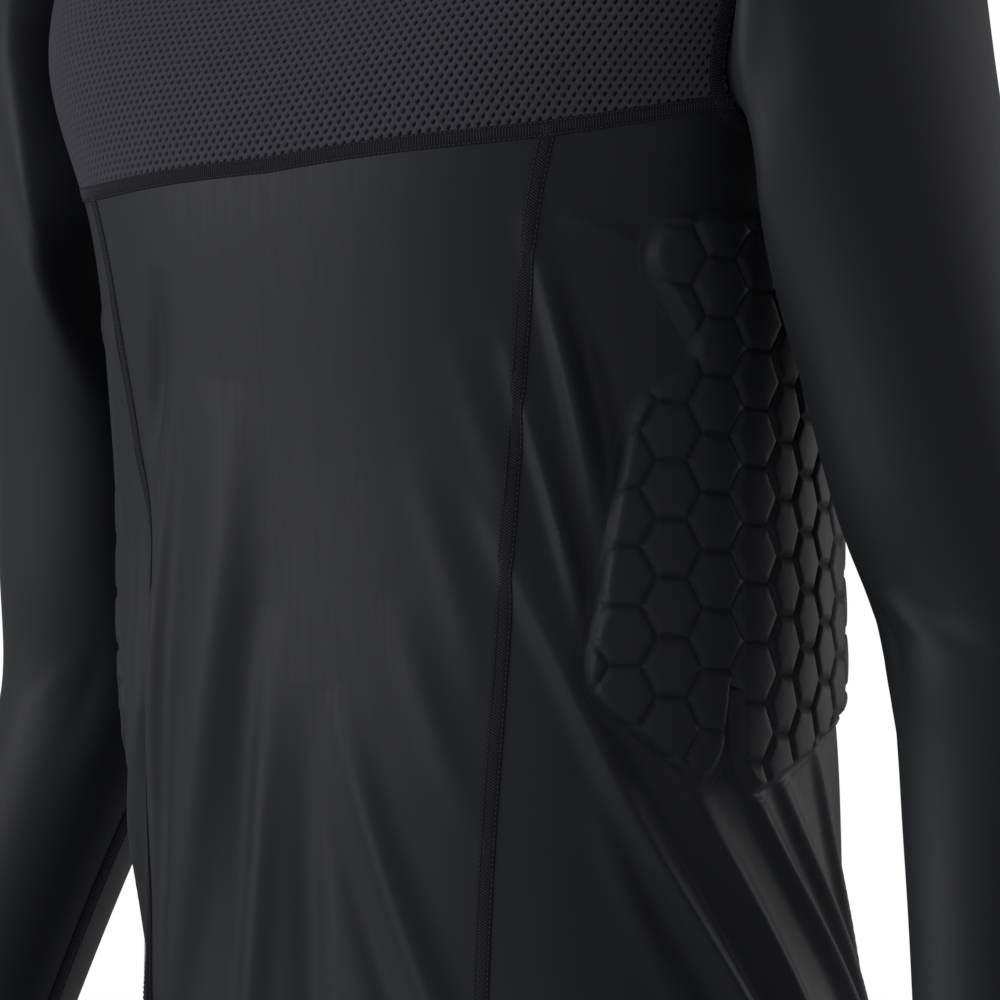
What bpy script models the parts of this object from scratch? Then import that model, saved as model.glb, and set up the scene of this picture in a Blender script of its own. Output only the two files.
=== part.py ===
"""Padded compression shirt, worn and hollow: a long-sleeved stretch shirt with a
mesh chest yoke, a centre front, side panels that carry honeycomb rib pads, a back,
two sleeves and a neck band.

Frame: +Z up, the chest faces -Y, the wearer's left arm is at +X. The origin lies
on the shoulder line in the middle of the neck opening, where the wearer holds it.
Run with: blender --background --python part.py
"""

import math
from collections import namedtuple

import bpy
import numpy as np
from mathutils import Vector
from mathutils.geometry import delaunay_2d_cdt

MM = 0.001

# Driving dimensions, in millimetres
SHIRT_LENGTH = 720.0  # shoulder line at the neck to the hem
HALF_GIRTH = 480.0  # pattern width from the centre front to the centre back
CLOTH = 1.5  # stretch cloth
KNIT = 2.0  # mesh of the chest yoke
RIB = 2.4  # neck band, cloth on both sides
SEAM_GAP = 0.4  # between two pieces at a seam

# How finely each piece is faceted: the spacing round and up of a panel's points
SEAM_STEP = 24
YOKE_SEAM_STEP = 13
HEM_STEP = 12
FRONT_CELL = (14, 28)
SIDE_CELL = (14, 24)
YOKE_CELL = (22, 24)
BACK_CELL = (19, 32)
SLEEVE_ROWS = 16
COLLAR_STEPS = 40
ROW_STEP = math.sqrt(3) / 2  # rows of a panel's points, in cells
EDGE_CLEAR = 0.45  # cells that its points keep from the edge
PAD_CLEAR = 0.4  # from the pad
CREASE_CLEAR = 0.35  # and from a crease
SAME_POINT = 0.5  # points of an outline closer than this are one

# A ring of the torso. level is its height in the pattern, up from the hem; the z
# columns are its height at the centre front, at the side and at the centre back.
Ring = namedtuple(
    "Ring", "level z_front z_side z_back half_width side_y front_y back_y fullness"
)
TORSO = (
    Ring(0, -SHIRT_LENGTH, -SHIRT_LENGTH, -SHIRT_LENGTH, 163, 26, -97, 152, 2.30),
    Ring(80, -640, -640, -640, 160, 24, -101, 146, 2.30),
    Ring(144, -576, -576, -576, 154, 18, -108, 136, 2.30),
    Ring(213, -507, -507, -507, 152, 5, -116, 123, 2.30),
    Ring(277, -443, -443, -443, 159, 0, -122, 114, 2.30),
    Ring(359, -361, -361, -361, 160, -1, -128, 111, 2.30),
    Ring(425, -297, -295, -295, 165, -2, -137, 120, 2.35),
    Ring(495, -228, -225, -225, 175, -3, -144, 126, 2.45),
    Ring(559, -170, -160, -160, 198, 0, -134, 128, 2.80),
    Ring(612, -128, -98, -108, 203, 4, -114, 116, 2.70),
    Ring(660, -101, -50, -64, 190, 8, -90, 92, 2.35),
    Ring(708, -90, -18, -32, 112, 6, -79, 70, 2.10),
    Ring(732, -85, -2, -18, 78, 4, -75, 60, 2.00),
    Ring(752, -70, 16, 1, 71, 4, -66, 57, 2.00),
)
NECK_LEVEL = 732.0
COLLAR_LEVEL = 752.0

# Seams in the pattern. Arcs are measured round the body, from the centre front to
# either side: the worn shirt is turned a little, so the front seams differ.
Seam = namedtuple("Seam", "level left right")
FRONT_SEAM = (
    Seam(0, 72, 101),
    Seam(140, 81, 109),
    Seam(220, 94, 107),
    Seam(300, 102, 104),
    Seam(380, 109, 107),
    Seam(450, 115, 113),
    Seam(492, 121, 121),
)
BACK_SEAM = (
    Seam(0, 370, 370),
    Seam(160, 370, 370),
    Seam(300, 362, 362),
    Seam(420, 346, 346),
    Seam(555, 312, 312),
)
YokeSeam = namedtuple("YokeSeam", "arc level")
YOKE_SEAM = (YokeSeam(0, 487.5), YokeSeam(66, 489.5), YokeSeam(121, 492), YokeSeam(193, 505.5))

# Armhole: an egg shape in the pattern, centred on the side line. It is cut in
# squarely at the front, under the yoke.
SIDE_ARC = HALF_GIRTH / 2
ARMHOLE_LEVEL = 577.0
ARMHOLE_HALF_HEIGHT = 80.0
ARMHOLE_FRONT = 58.0
ARMHOLE_BACK = 74.0
ARMHOLE_FULLNESS = 2.2
ARMHOLE_FRONT_FULLNESS = 4.5
ARMHOLE_STEPS = 28
YOKE_END_STEP = 3
BACK_END_STEP = -6

# Rings of a sleeve after the armhole, as if on the left: its inner and outer edge
# in the XZ plane, the middle's y on the left and on the right arm, half its depth
# from front to back, and how squarely it fills out low at the front
Cuff = namedtuple("Cuff", "x_in z_in x_out z_out y right_y half_depth fullness")
SLEEVE = (
    Cuff(186, -238, 218, -66, -11, -9, 73, 3.3),
    Cuff(188, -252, 237, -108, -12, -10, 70, 3.2),
    Cuff(184, -275, 250, -172, -10, -9, 66, 2.8),
    Cuff(179, -302, 260, -245, -2, -2, 61, 2.4),
    Cuff(180, -338, 268, -318, 8, 6, 54, 2.2),
    Cuff(189, -398, 276, -382, 20, 14, 48, 2.1),
    Cuff(198, -438, 283, -424, 32, 22, 46, 2.0),
    Cuff(213, -485, 291, -465, 17, 14, 43, 2.0),
    Cuff(234, -552, 301, -536, -9, -3, 39, 2.0),
    Cuff(253, -625, 312, -612, -33, -21, 34, 2.0),
    Cuff(267, -676, 321, -664, -48, -32, 30, 2.0),
)

SLEEVE_STAND = 2.5  # the sleeve stands off the armhole before it turns down

# Rib pad: the outline of the left one, as a turn of corners in the pattern. The right
# one is its mirror image, a little further round.
RIGHT_PAD_SHIFT = 10.0
PAD_HEIGHT = 6.0
PAD_BEVEL = 5.0
HEX_PITCH = 24.0
HEX_ORIGIN = (194.0, 262.0)
GROOVE_WIDTH = 4.0
GROOVE_DEPTH = 2.6
Corner = namedtuple("Corner", "arc level round")
PAD = (
    Corner(133, 262, 16),
    Corner(190, 223, 13),
    Corner(202, 240, 5),
    Corner(204, 268, 2),
    Corner(206, 238, 5),
    Corner(216, 221, 13),
    Corner(318, 270, 22),
    Corner(320, 440, 26),
    Corner(300, 474, 18),
    Corner(163, 459, 14),
    Corner(157, 438, 9),
    Corner(184, 405, 6),
    Corner(156, 386, 14),
)


def spline(xs, ys):
    """A smooth curve through the points, as a function (natural cubic spline)."""
    xs, ys = np.asarray(xs, float), np.asarray(ys, float)
    h, slope = np.diff(xs), np.diff(ys) / np.diff(xs)
    n = len(xs)
    a = np.eye(n)
    b = np.zeros(n)
    for i in range(1, n - 1):
        a[i, i - 1 : i + 2] = h[i - 1], 2 * (h[i - 1] + h[i]), h[i]
        b[i] = 6 * (slope[i] - slope[i - 1])
    m = np.linalg.solve(a, b)

    def at(x):
        i = np.clip(np.searchsorted(xs, x) - 1, 0, n - 2)
        t = x - xs[i]
        bend = (m[i + 1] - m[i]) / (6 * h[i])
        return (
            ys[i]
            + t * (slope[i] - h[i] * (2 * m[i] + m[i + 1]) / 6)
            + t * t * m[i] / 2
            + t**3 * bend
        )

    return at


def torso_net(levels, columns):
    """Points of the left half of the torso. Columns run from the centre front to
    the centre back, evenly spaced along each half of each ring."""
    curve = {
        name: spline([r.level for r in TORSO], [getattr(r, name) for r in TORSO])
        for name in Ring._fields[1:]
    }
    net = np.zeros((len(levels), len(columns), 3))
    angle = np.linspace(0, math.pi, 721)
    side = len(angle) // 2
    for i, level in enumerate(levels):
        r = {name: float(at(level)) for name, at in curve.items()}
        power = 2 / r["fullness"]
        cos = np.cos(angle)
        reach = np.where(cos > 0, r["front_y"] - r["side_y"], r["side_y"] - r["back_y"])
        x = r["half_width"] * np.abs(np.sin(angle)) ** power
        y = r["side_y"] + reach * np.sign(cos) * np.abs(cos) ** power
        end = np.where(cos > 0, r["z_front"], r["z_back"])
        z = r["z_side"] + (end - r["z_side"]) * cos**2
        ring = np.stack([x, y, z], axis=1)
        step = np.linalg.norm(np.diff(ring, axis=0), axis=1)
        run = np.concatenate([[0], np.cumsum(step)])
        share = np.where(
            run <= run[side],
            run / run[side] / 2,
            0.5 + (run - run[side]) / (run[-1] - run[side]) / 2,
        )
        for k in range(3):
            net[i, :, k] = np.interp(columns, share, ring[:, k])
    return net


LEVELS = np.linspace(0, COLLAR_LEVEL, 377)
COLUMNS = np.linspace(0, 1, 241)
NET = torso_net(LEVELS, COLUMNS)
ALONG = np.gradient(NET, LEVELS, axis=0)
ROUND = np.gradient(NET, COLUMNS * HALF_GIRTH, axis=1)
# The front and back edges of the half net lie in the mirror plane
ROUND[:, 0, 1:] = 0
ROUND[:, -1, 1:] = 0


def signed(arc):
    """The arc as measured the short way round from the centre front."""
    return (arc + HALF_GIRTH) % (2 * HALF_GIRTH) - HALF_GIRTH


def looked_up(field, arc, level):
    """A field of the net at places of the pattern. Right-hand places have arc < 0."""
    c = np.clip(np.abs(signed(arc)) / HALF_GIRTH, 0, 1) * (len(COLUMNS) - 1)
    r = np.clip(level / COLLAR_LEVEL, 0, 1) * (len(LEVELS) - 1)
    i = np.minimum(r.astype(int), len(LEVELS) - 2)
    j = np.minimum(c.astype(int), len(COLUMNS) - 2)
    s, t = (r - i)[:, None], (c - j)[:, None]
    near = field[i, j] * (1 - t) + field[i, j + 1] * t
    far = field[i + 1, j] * (1 - t) + field[i + 1, j + 1] * t
    return near * (1 - s) + far * s


# Folds of the cloth: a soft ridge, or a trough where height is below 0, from one
# place of the pattern to another. start and end are its strength there.
Fold = namedtuple("Fold", "arc level to_arc to_level bow width height start end")
FOLDS = (
    # Down the centre front, from the chest to the hem
    Fold(-57, 424, -95, 0, -10, 11, 4.5, 0.0, 0.9),
    Fold(-70, 340, -80, 0, -2, 8, -3.0, 0.0, 1.0),
    Fold(-60, 330, -66, 0, 0, 9, 3.5, 0.0, 1.0),
    Fold(-36, 300, -6, 0, 2, 12, 4.0, 0.0, 1.0),
    Fold(14, 238, 64, 0, 3, 11, 3.5, 0.0, 0.9),
    # Left side, drawn from the front seam down to the pad and round to the back
    Fold(117, 442, 142, 330, 2, 8, 4.0, 0.1, 0.1),
    Fold(109, 386, 137, 282, 2, 8, 4.0, 0.1, 0.1),
    Fold(105, 322, 232, 20, 0, 12, 6.5, 0.1, 0.8),
    Fold(126, 290, 252, 20, 0, 9, -4.0, 0.1, 0.7),
    Fold(184, 216, 288, 10, 4, 8, 4.5, 0.1, 0.9),
    Fold(209, 224, 320, 10, 7, 8, 5.0, 0.2, 0.9),
    Fold(240, 216, 338, 10, 2, 8, 4.5, 0.2, 0.9),
    Fold(276, 238, 300, 10, 6, 9, 5.0, 0.2, 0.8),
    # Right side, the same cut hanging a little differently
    Fold(-116, 434, -140, 335, -2, 8, 4.0, 0.1, 0.1),
    Fold(-152, 340, -118, 232, 4, 9, 5.0, 0.1, 0.3),
    Fold(-108, 300, -226, 20, -2, 12, 6.0, 0.1, 0.8),
    Fold(-190, 212, -280, 10, -5, 8, 4.5, 0.1, 0.9),
    Fold(-228, 214, -318, 10, -4, 8, 5.0, 0.2, 0.9),
    Fold(-268, 232, -305, 10, -5, 9, 4.5, 0.2, 0.8),
    # Back, hanging from the shoulder blades over the seat
    Fold(430, 400, 408, 10, 6, 14, 5.0, 0.0, 0.8),
    Fold(-432, 380, -400, 10, -8, 14, 5.0, 0.0, 0.8),
    Fold(392, 330, 352, 40, 6, 11, 4.0, 0.0, 0.6),
    Fold(-384, 320, -346, 30, -6, 11, 4.0, 0.0, 0.6),
)
CREASE_MARGIN = 4.0  # folds keep this far from a panel's edge in its mesh
PAD_HOLD = 12.0  # the pad holds the cloth flat from this far inside its edge


def fold_line(fold, offset, count=9):
    """Points (arc, level) along a fold, or beside it."""
    start = np.array([fold.arc, fold.level], float)
    along = np.array([fold.to_arc, fold.to_level]) - start
    across = np.array([-along[1], along[0]]) / np.hypot(*along)
    t = np.linspace(0, 1, count)[:, None]
    return start + along * t + across * (fold.bow * 4 * t * (1 - t) + offset)


def fold_height(arc, level):
    """How far the folds lift the cloth off its plain form, in millimetres."""
    total = np.zeros(len(arc))
    for f in FOLDS:
        along = np.array([f.to_arc - f.arc, f.to_level - f.level], float)
        length = np.hypot(*along)
        along /= length
        across = np.array([-along[1], along[0]])
        away = np.stack([arc - f.arc, level - f.level], axis=1)
        t = np.clip(away @ along / length, 0, 1)
        beside = away @ across - f.bow * 4 * t * (1 - t)
        past = away @ along - t * length
        ends = f.start * (1 - t) + f.end * t
        strength = ends + (1 - ends) * np.sin(math.pi * t)
        shape = np.exp(-((beside / f.width) ** 2) - (past / (2 * f.width)) ** 2)
        total += f.height * strength * shape
    on_pad = distance_to(as_left_pad(arc, level), PAD_OUTLINE)
    return total * (1 - np.clip(on_pad / PAD_HOLD, 0, 1))


def cloth(arc, level):
    """Outer face of the cloth in the row frame, in millimetres, and its normals."""
    arc = signed(arc)
    point = looked_up(NET, arc, level)
    normal = np.cross(looked_up(ROUND, arc, level), looked_up(ALONG, arc, level))
    normal /= np.linalg.norm(normal, axis=1)[:, None]
    mirror = np.where(arc[:, None] < 0, [-1.0, 1.0, 1.0], [1.0, 1.0, 1.0])
    point, normal = point * mirror, normal * mirror
    return point + normal * fold_height(arc, level)[:, None], normal


def seam_line(seam, side, start, end, step):
    """Points (arc, level) along a seam that climbs, as if on the left side."""
    at = spline([s.level for s in seam], [getattr(s, side) for s in seam])
    count = max(2, round(abs(end - start) / step) + 1)
    levels = np.linspace(start, end, count)
    return np.stack([at(levels), levels], axis=1)


def yoke_line(start, end, step):
    """Points (arc, level) along the left half of the yoke's seam."""
    at = spline([s.arc for s in YOKE_SEAM], [s.level for s in YOKE_SEAM])
    arcs = np.linspace(start, end, max(2, round(abs(end - start) / step) + 1))
    return np.stack([arcs, at(arcs)], axis=1)


def armhole(steps):
    """Points (arc, level) on the left armhole: step 0 is at the armpit, and the
    steps climb the front to the shoulder and come down the back."""
    turn = np.asarray(steps, float) * 2 * math.pi / ARMHOLE_STEPS
    sin, cos = np.sin(turn), np.cos(turn)
    reach = np.where(sin > 0, ARMHOLE_FRONT, ARMHOLE_BACK)
    square = (sin > 0) & (cos > 0)
    power = 2 / np.where(square, ARMHOLE_FRONT_FULLNESS, ARMHOLE_FULLNESS)
    arc = SIDE_ARC - reach * np.sign(sin) * np.abs(sin) ** power
    level = ARMHOLE_LEVEL - ARMHOLE_HALF_HEIGHT * np.sign(cos) * np.abs(cos) ** power
    return np.stack([arc, level], axis=1)


def joined_open(*runs):
    """Runs of points one after another, without the points where they meet."""
    points = [p for run in runs for p in run]
    kept = [points[0]]
    for p in points[1:]:
        if np.hypot(*(p - kept[-1])) > SAME_POINT:
            kept.append(p)
    return np.array(kept)


def joined(*runs):
    """One closed outline from runs of points."""
    points = joined_open(*runs)
    closes = np.hypot(*(points[-1] - points[0])) < SAME_POINT
    return points[:-1] if closes else points


def mirrored(points):
    """The same points on the other side of the body, in the opposite order."""
    return points[::-1] * [-1, 1]


def shrunk(outline, by, scale=1.0):
    """A closed outline that runs the positive way round, moved in by a distance.
    scale is the real length of one unit of arc and of level, at each point."""
    before = (outline - np.roll(outline, 1, axis=0)) * scale
    after = (np.roll(outline, -1, axis=0) - outline) * scale
    both = np.zeros(outline.shape)
    for edge in (before, after):
        normal = np.stack([-edge[:, 1], edge[:, 0]], axis=1)
        both += normal / np.maximum(np.linalg.norm(normal, axis=1), 1e-9)[:, None]
    both *= (2 / np.maximum((both**2).sum(axis=1), 0.8))[:, None]
    return outline + both * by / scale


def drawn_in(outline, by):
    """The outline moved in by a real distance, as measured on the cloth."""
    round_scale = np.linalg.norm(looked_up(ROUND, *outline.T), axis=1)
    along_scale = np.linalg.norm(looked_up(ALONG, *outline.T), axis=1)
    return shrunk(outline, by, np.stack([round_scale, along_scale], axis=1))


def distance_to(points, outline):
    """How far each point is from a closed outline, above 0 inside it."""
    a, b = outline, np.roll(outline, -1, axis=0)
    edge = b - a
    away = points[:, None] - a
    t = np.clip((away * edge).sum(axis=2) / (edge * edge).sum(axis=1), 0, 1)
    apart = np.linalg.norm(away - t[:, :, None] * edge, axis=2).min(axis=1)
    crosses = (a[:, 1] > points[:, 1:]) != (b[:, 1] > points[:, 1:])
    drop = np.where(edge[:, 1] == 0, 1, edge[:, 1])
    to_the_left = points[:, :1] < a[:, 0] + edge[:, 0] * away[:, :, 1] / drop
    inside = (crosses & to_the_left).sum(axis=1) % 2 == 1
    return np.where(inside, apart, -apart)


def rounded(corners, steps=4):
    """A closed outline with each corner turned in an arc."""
    spots = np.array([[c.arc, c.level] for c in corners], float)
    outline = []
    for i, corner in enumerate(corners):
        before, here, after = spots[i - 1], spots[i], spots[(i + 1) % len(spots)]
        a = here + (before - here) * corner.round / np.hypot(*(before - here))
        b = here + (after - here) * corner.round / np.hypot(*(after - here))
        for t in np.linspace(0, 1, steps):
            outline.append((1 - t) ** 2 * a + 2 * t * (1 - t) * here + t * t * b)
    return np.array(outline)


def as_left_pad(arc, level):
    """Where places on either side of the body lie on the left pad."""
    return np.stack([np.where(arc < 0, -arc - RIGHT_PAD_SHIFT, arc), level], axis=1)


def on_side(points, side):
    """Points of the left pad as they lie on the body: side is 1 or -1."""
    return points * [side, 1] - [RIGHT_PAD_SHIFT * (side < 0), 0]


PAD_OUTLINE = rounded(PAD)
HEX_COLUMN = HEX_PITCH * math.sqrt(3) / 2
HEX_NORMALS = np.array([[0, 1], [math.sqrt(3) / 2, 0.5], [math.sqrt(3) / 2, -0.5]])


def hex_centre(points):
    """The middle of the pad cell that each point lies in."""
    best, found = None, None
    for shift in (0, 1):
        start = np.array(HEX_ORIGIN) + np.array([HEX_COLUMN, HEX_PITCH / 2]) * shift
        pitch = np.array([2 * HEX_COLUMN, HEX_PITCH])
        middle = start + np.round((points - start) / pitch) * pitch
        away = np.abs((points - middle) @ HEX_NORMALS.T).max(axis=1)
        if best is None:
            best, found = away, middle
        else:
            found = np.where((away < best)[:, None], middle, found)
            best = np.minimum(away, best)
    return found


def pad_height(arc, level):
    """How far the rib pad lifts the side panel, with a groove round each cell."""
    points = as_left_pad(arc, level)
    edge = np.clip(distance_to(points, PAD_OUTLINE) / PAD_BEVEL, 0, 1)
    middle = hex_centre(points)
    to_groove = HEX_PITCH / 2 - np.abs((points - middle) @ HEX_NORMALS.T).max(axis=1)
    groove = 1 - np.clip(to_groove / (GROOVE_WIDTH / 2), 0, 1)
    return np.maximum(PAD_HEIGHT * edge - GROOVE_DEPTH * groove * edge, 0)


def clipped(a, b, outline):
    """The stretches of the line from a to b that lie inside a closed outline."""
    line, edge, away = b - a, np.roll(outline, -1, axis=0) - outline, outline - a
    turn = line[0] * edge[:, 1] - line[1] * edge[:, 0]
    turn = np.where(np.abs(turn) < 1e-9, np.inf, turn)
    t = (away[:, 0] * edge[:, 1] - away[:, 1] * edge[:, 0]) / turn
    s = (away[:, 0] * line[1] - away[:, 1] * line[0]) / turn
    crossed = (t > 0) & (t < 1) & (s >= 0) & (s <= 1) & np.isfinite(turn)
    cuts = [0.0, *sorted(t[crossed]), 1.0]
    kept = []
    for t, u in zip(cuts, cuts[1:]):
        middle = (a + line * (t + u) / 2)[None]
        if (u - t) * np.hypot(*line) > 1.0 and distance_to(middle, outline)[0] > 0:
            kept.append((a + line * t, a + line * u))
    return kept


def pad_creases(side):
    """Lines of the pad's relief in the pattern: its two outlines, the middle of
    each groove and its two lips."""
    top = shrunk(PAD_OUTLINE, PAD_BEVEL)
    lines = [run for o in (PAD_OUTLINE, top) for run in zip(o, np.roll(o, -1, axis=0))]
    low, high = PAD_OUTLINE.min(axis=0), PAD_OUTLINE.max(axis=0)
    wide, tall = ((high - low) / [HEX_COLUMN, HEX_PITCH]).astype(int) + 3
    turns = np.arange(6) * math.pi / 3
    corner = np.stack([np.cos(turns), np.sin(turns)], axis=1) * HEX_PITCH / math.sqrt(3)
    lip = 1 - GROOVE_WIDTH / HEX_PITCH
    for column in range(-wide, wide + 1):
        for row in range(-tall, tall + 1):
            offset = np.array([column * HEX_COLUMN, (row + column % 2 / 2) * HEX_PITCH])
            middle = HEX_ORIGIN + offset
            for k in range(6):
                a, b = corner[k], corner[(k + 1) % 6]
                lines += clipped(middle + a * lip, middle + b * lip, top)
                if k < 3:
                    lines += clipped(middle + a, middle + b, top)
    return [(on_side(a, side), on_side(b, side)) for a, b in lines]


def fold_creases(outline, keep_out=None):
    """Lines along the crest and the two feet of each fold that crosses a panel."""
    lines = []
    for f in FOLDS:
        for offset in (-f.width, 0, f.width):
            run = fold_line(f, offset)
            for shift in (0, 2 * HALF_GIRTH):
                moved = run + [shift, 0]
                for a, b in zip(moved, moved[1:]):
                    lines += clipped(a, b, outline)
    if keep_out is not None:
        apart = [distance_to(np.array(line), keep_out).max() for line in lines]
        lines = [line for line, away in zip(lines, apart) if away < -GROOVE_WIDTH / 2]
    return lines


def distance_to_lines(points, lines):
    """How far each point is from the nearest of a few straight lines."""
    best = np.full(len(points), np.inf)
    for a, b in lines:
        edge, away = b - a, points - a
        t = np.clip(away @ edge / (edge @ edge), 0, 1)
        best = np.minimum(best, np.linalg.norm(away - t[:, None] * edge, axis=1))
    return best


def triangles(outline, cell, keep_clear=None, creases=()):
    """Triangles that fill an outline of the pattern, with corners about a cell
    apart. Returns all the points, the outline's first, and the triangles."""
    points = [Vector(p / cell) for p in outline]
    edges = [(i, (i + 1) % len(points)) for i in range(len(points))]
    low, high = outline.min(axis=0) / cell, outline.max(axis=0) / cell
    grid = []
    for row, y in enumerate(np.arange(low[1] + 0.5, high[1], ROW_STEP)):
        for x in np.arange(low[0] + 0.5 * (row % 2), high[0], 1.0):
            grid.append((x, y))
    grid = np.array(grid)
    clear = distance_to(grid, outline / cell) > EDGE_CLEAR
    if keep_clear is not None:
        clear &= distance_to(grid, keep_clear / cell) < -PAD_CLEAR
    scaled = [(a / cell, b / cell) for a, b in creases]
    clear &= distance_to_lines(grid, scaled) > CREASE_CLEAR
    points += [Vector(p) for p in grid[clear]]
    for a, b in scaled:
        edges.append((len(points), len(points) + 1))
        points += [Vector(a), Vector(b)]
    found, _, faces, origins, _, _ = delaunay_2d_cdt(points, edges, [], 1, 1e-4)
    place = {}
    for i, came_from in enumerate(origins):
        for j in came_from:
            place[j] = i
    rim = [place[i] for i in range(len(outline))]
    return np.array(found) * cell, rim, [list(f) for f in faces]


def closed_wall(name, outer, inner, faces, material):
    """One object from the points of a wall's two sides and all its faces."""
    mesh = bpy.data.meshes.new(name)
    mesh.from_pydata((np.concatenate([outer, inner]) * MM).tolist(), [], faces)
    mesh.shade_smooth()
    mesh.set_sharp_from_angle(angle=math.radians(50))
    mesh.materials.append(material)
    COLLECTION.objects.link(bpy.data.objects.new(name, mesh))


def rim_faces(outer_rim, inner_rim, shift):
    """Faces that join the rim of a wall's outer side to that of its inner side."""
    inner_rim = [shift + i for i in inner_rim]
    ends = list(zip(outer_rim, inner_rim))
    return [[c, a, b, d] for (a, b), (c, d) in zip(ends, ends[1:] + ends[:1])]


def panel(name, outline, cell, material, thickness=CLOTH, pad_side=0):
    """A panel of the torso, cut to an outline of the pattern. pad_side is 1 or -1
    where the left or right rib pad is raised in its outer face."""
    outline = drawn_in(outline, SEAM_GAP / 2)
    cell = np.array(cell, float)
    within = shrunk(outline, CREASE_MARGIN)
    zone = on_side(PAD_OUTLINE, pad_side) if pad_side else None
    folds = fold_creases(within, zone)
    inner, inner_rim, inner_faces = triangles(outline, cell, creases=folds)
    outer, outer_rim, outer_faces = inner, inner_rim, inner_faces
    if pad_side:
        relief = pad_creases(pad_side) + folds
        outer, outer_rim, outer_faces = triangles(outline, cell, zone, relief)
    outer_at, outer_normal = cloth(*outer.T)
    if pad_side:
        outer_at = outer_at + outer_normal * pad_height(*outer.T)[:, None]
    inner_at, inner_normal = cloth(*inner.T)
    inner_at = inner_at - inner_normal * thickness
    shift = len(outer_at)
    faces = outer_faces + [[shift + i for i in reversed(f)] for f in inner_faces]
    faces += rim_faces(outer_rim, inner_rim, shift)
    closed_wall(name, outer_at, inner_at, faces, material)


def tube(name, rings, inner_rings, material):
    """An open tube of cloth from its outer and inner rings, each a closed ring."""
    rows, count = rings.shape[:2]
    outer, inner = rings.reshape(-1, 3), inner_rings.reshape(-1, 3)
    faces = []
    for i in range(0, (rows - 1) * count, count):
        for j in range(count):
            k = (j + 1) % count
            faces.append([i + j, i + k, i + count + k, i + count + j])
    shift, last = len(outer), (rows - 1) * count
    faces += [[shift + i for i in reversed(f)] for f in faces]
    first_rim, last_rim = list(range(count)), list(range(last, last + count))
    faces += rim_faces(first_rim, first_rim, shift)
    faces += rim_faces(last_rim[::-1], last_rim[::-1], shift)
    closed_wall(name, outer, inner, faces, material)


def sleeve_net(side, rows, steps):
    """Rings of a sleeve as if on the left, from the armhole to the cuff. Steps run
    round as the armhole's do: armpit, front, shoulder, back."""
    edge = armhole(steps)
    centre = np.array([SIDE_ARC, ARMHOLE_LEVEL])
    edge = edge + (centre - edge) * (SEAM_GAP / 2 / ARMHOLE_FRONT)
    start, normal = cloth(*edge.T)
    turn = np.asarray(steps, float) * 2 * math.pi / ARMHOLE_STEPS
    sin, cos = np.sin(turn)[:, None], np.cos(turn)[:, None]
    rings = [start + normal * SLEEVE_STAND]
    for c in SLEEVE:
        power = 2 / np.where((sin > 0) & (cos > 0), c.fullness, 2)
        middle_y = c.y if side == "left" else c.right_y
        middle = np.array([(c.x_in + c.x_out) / 2, middle_y, (c.z_in + c.z_out) / 2])
        inward = np.array([(c.x_in - c.x_out) / 2, 0, (c.z_in - c.z_out) / 2])
        forward = np.array([0, -c.half_depth, 0])
        rings.append(
            middle
            + np.sign(cos) * np.abs(cos) ** power * inward
            + np.sign(sin) * np.abs(sin) ** power * forward
        )
    rings = np.array(rings)
    apart = np.linalg.norm(np.diff(rings.mean(axis=1), axis=0), axis=1)
    run = np.concatenate([[0], np.cumsum(apart)])
    places = np.interp(np.linspace(0, 1, rows - 1), np.linspace(0, 1, len(run)), run)
    flat = rings.reshape(len(run), -1)
    smooth = [spline(run, flat[:, k])(places) for k in range(flat.shape[1])]
    smooth = np.stack(smooth, axis=1).reshape(rows - 1, len(turn), 3)
    return np.concatenate([start[None], smooth])


def sleeve(side, material):
    """A sleeve, from its armhole seam to its cuff."""
    steps = np.arange(ARMHOLE_STEPS)
    rings = sleeve_net(side, SLEEVE_ROWS, steps)
    down = np.gradient(rings, axis=0)
    turned = np.roll(rings, -1, axis=1) - np.roll(rings, 1, axis=1)
    normal = np.cross(down, turned)
    normal /= np.linalg.norm(normal, axis=2)[:, :, None]
    inner = rings - normal * CLOTH
    if side == "right":
        rings, inner = rings[:, ::-1] * [-1, 1, 1], inner[:, ::-1] * [-1, 1, 1]
    tube("sleeve_" + side, rings[:, ::-1], inner[:, ::-1], material)


def collar(material):
    """The neck band, standing on the neckline."""
    arcs = np.linspace(-HALF_GIRTH, HALF_GIRTH, COLLAR_STEPS, endpoint=False)
    outer, inner = [], []
    for level in np.linspace(NECK_LEVEL + SEAM_GAP / 2, COLLAR_LEVEL, 4):
        point, normal = cloth(arcs, np.full(COLLAR_STEPS, level))
        outer.append(point)
        inner.append(point - normal * RIB)
    tube("collar", np.array(outer), np.array(inner), material)


def fabric(name, colour, roughness):
    """A cloth material with the part's own colour."""
    made = bpy.data.materials.new(name)
    made.use_nodes = True
    shader = made.node_tree.nodes["Principled BSDF"]
    shader.inputs["Base Color"].default_value = (*colour, 1)
    shader.inputs["Roughness"].default_value = roughness
    shader.inputs["Metallic"].default_value = 0.0
    return made


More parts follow.
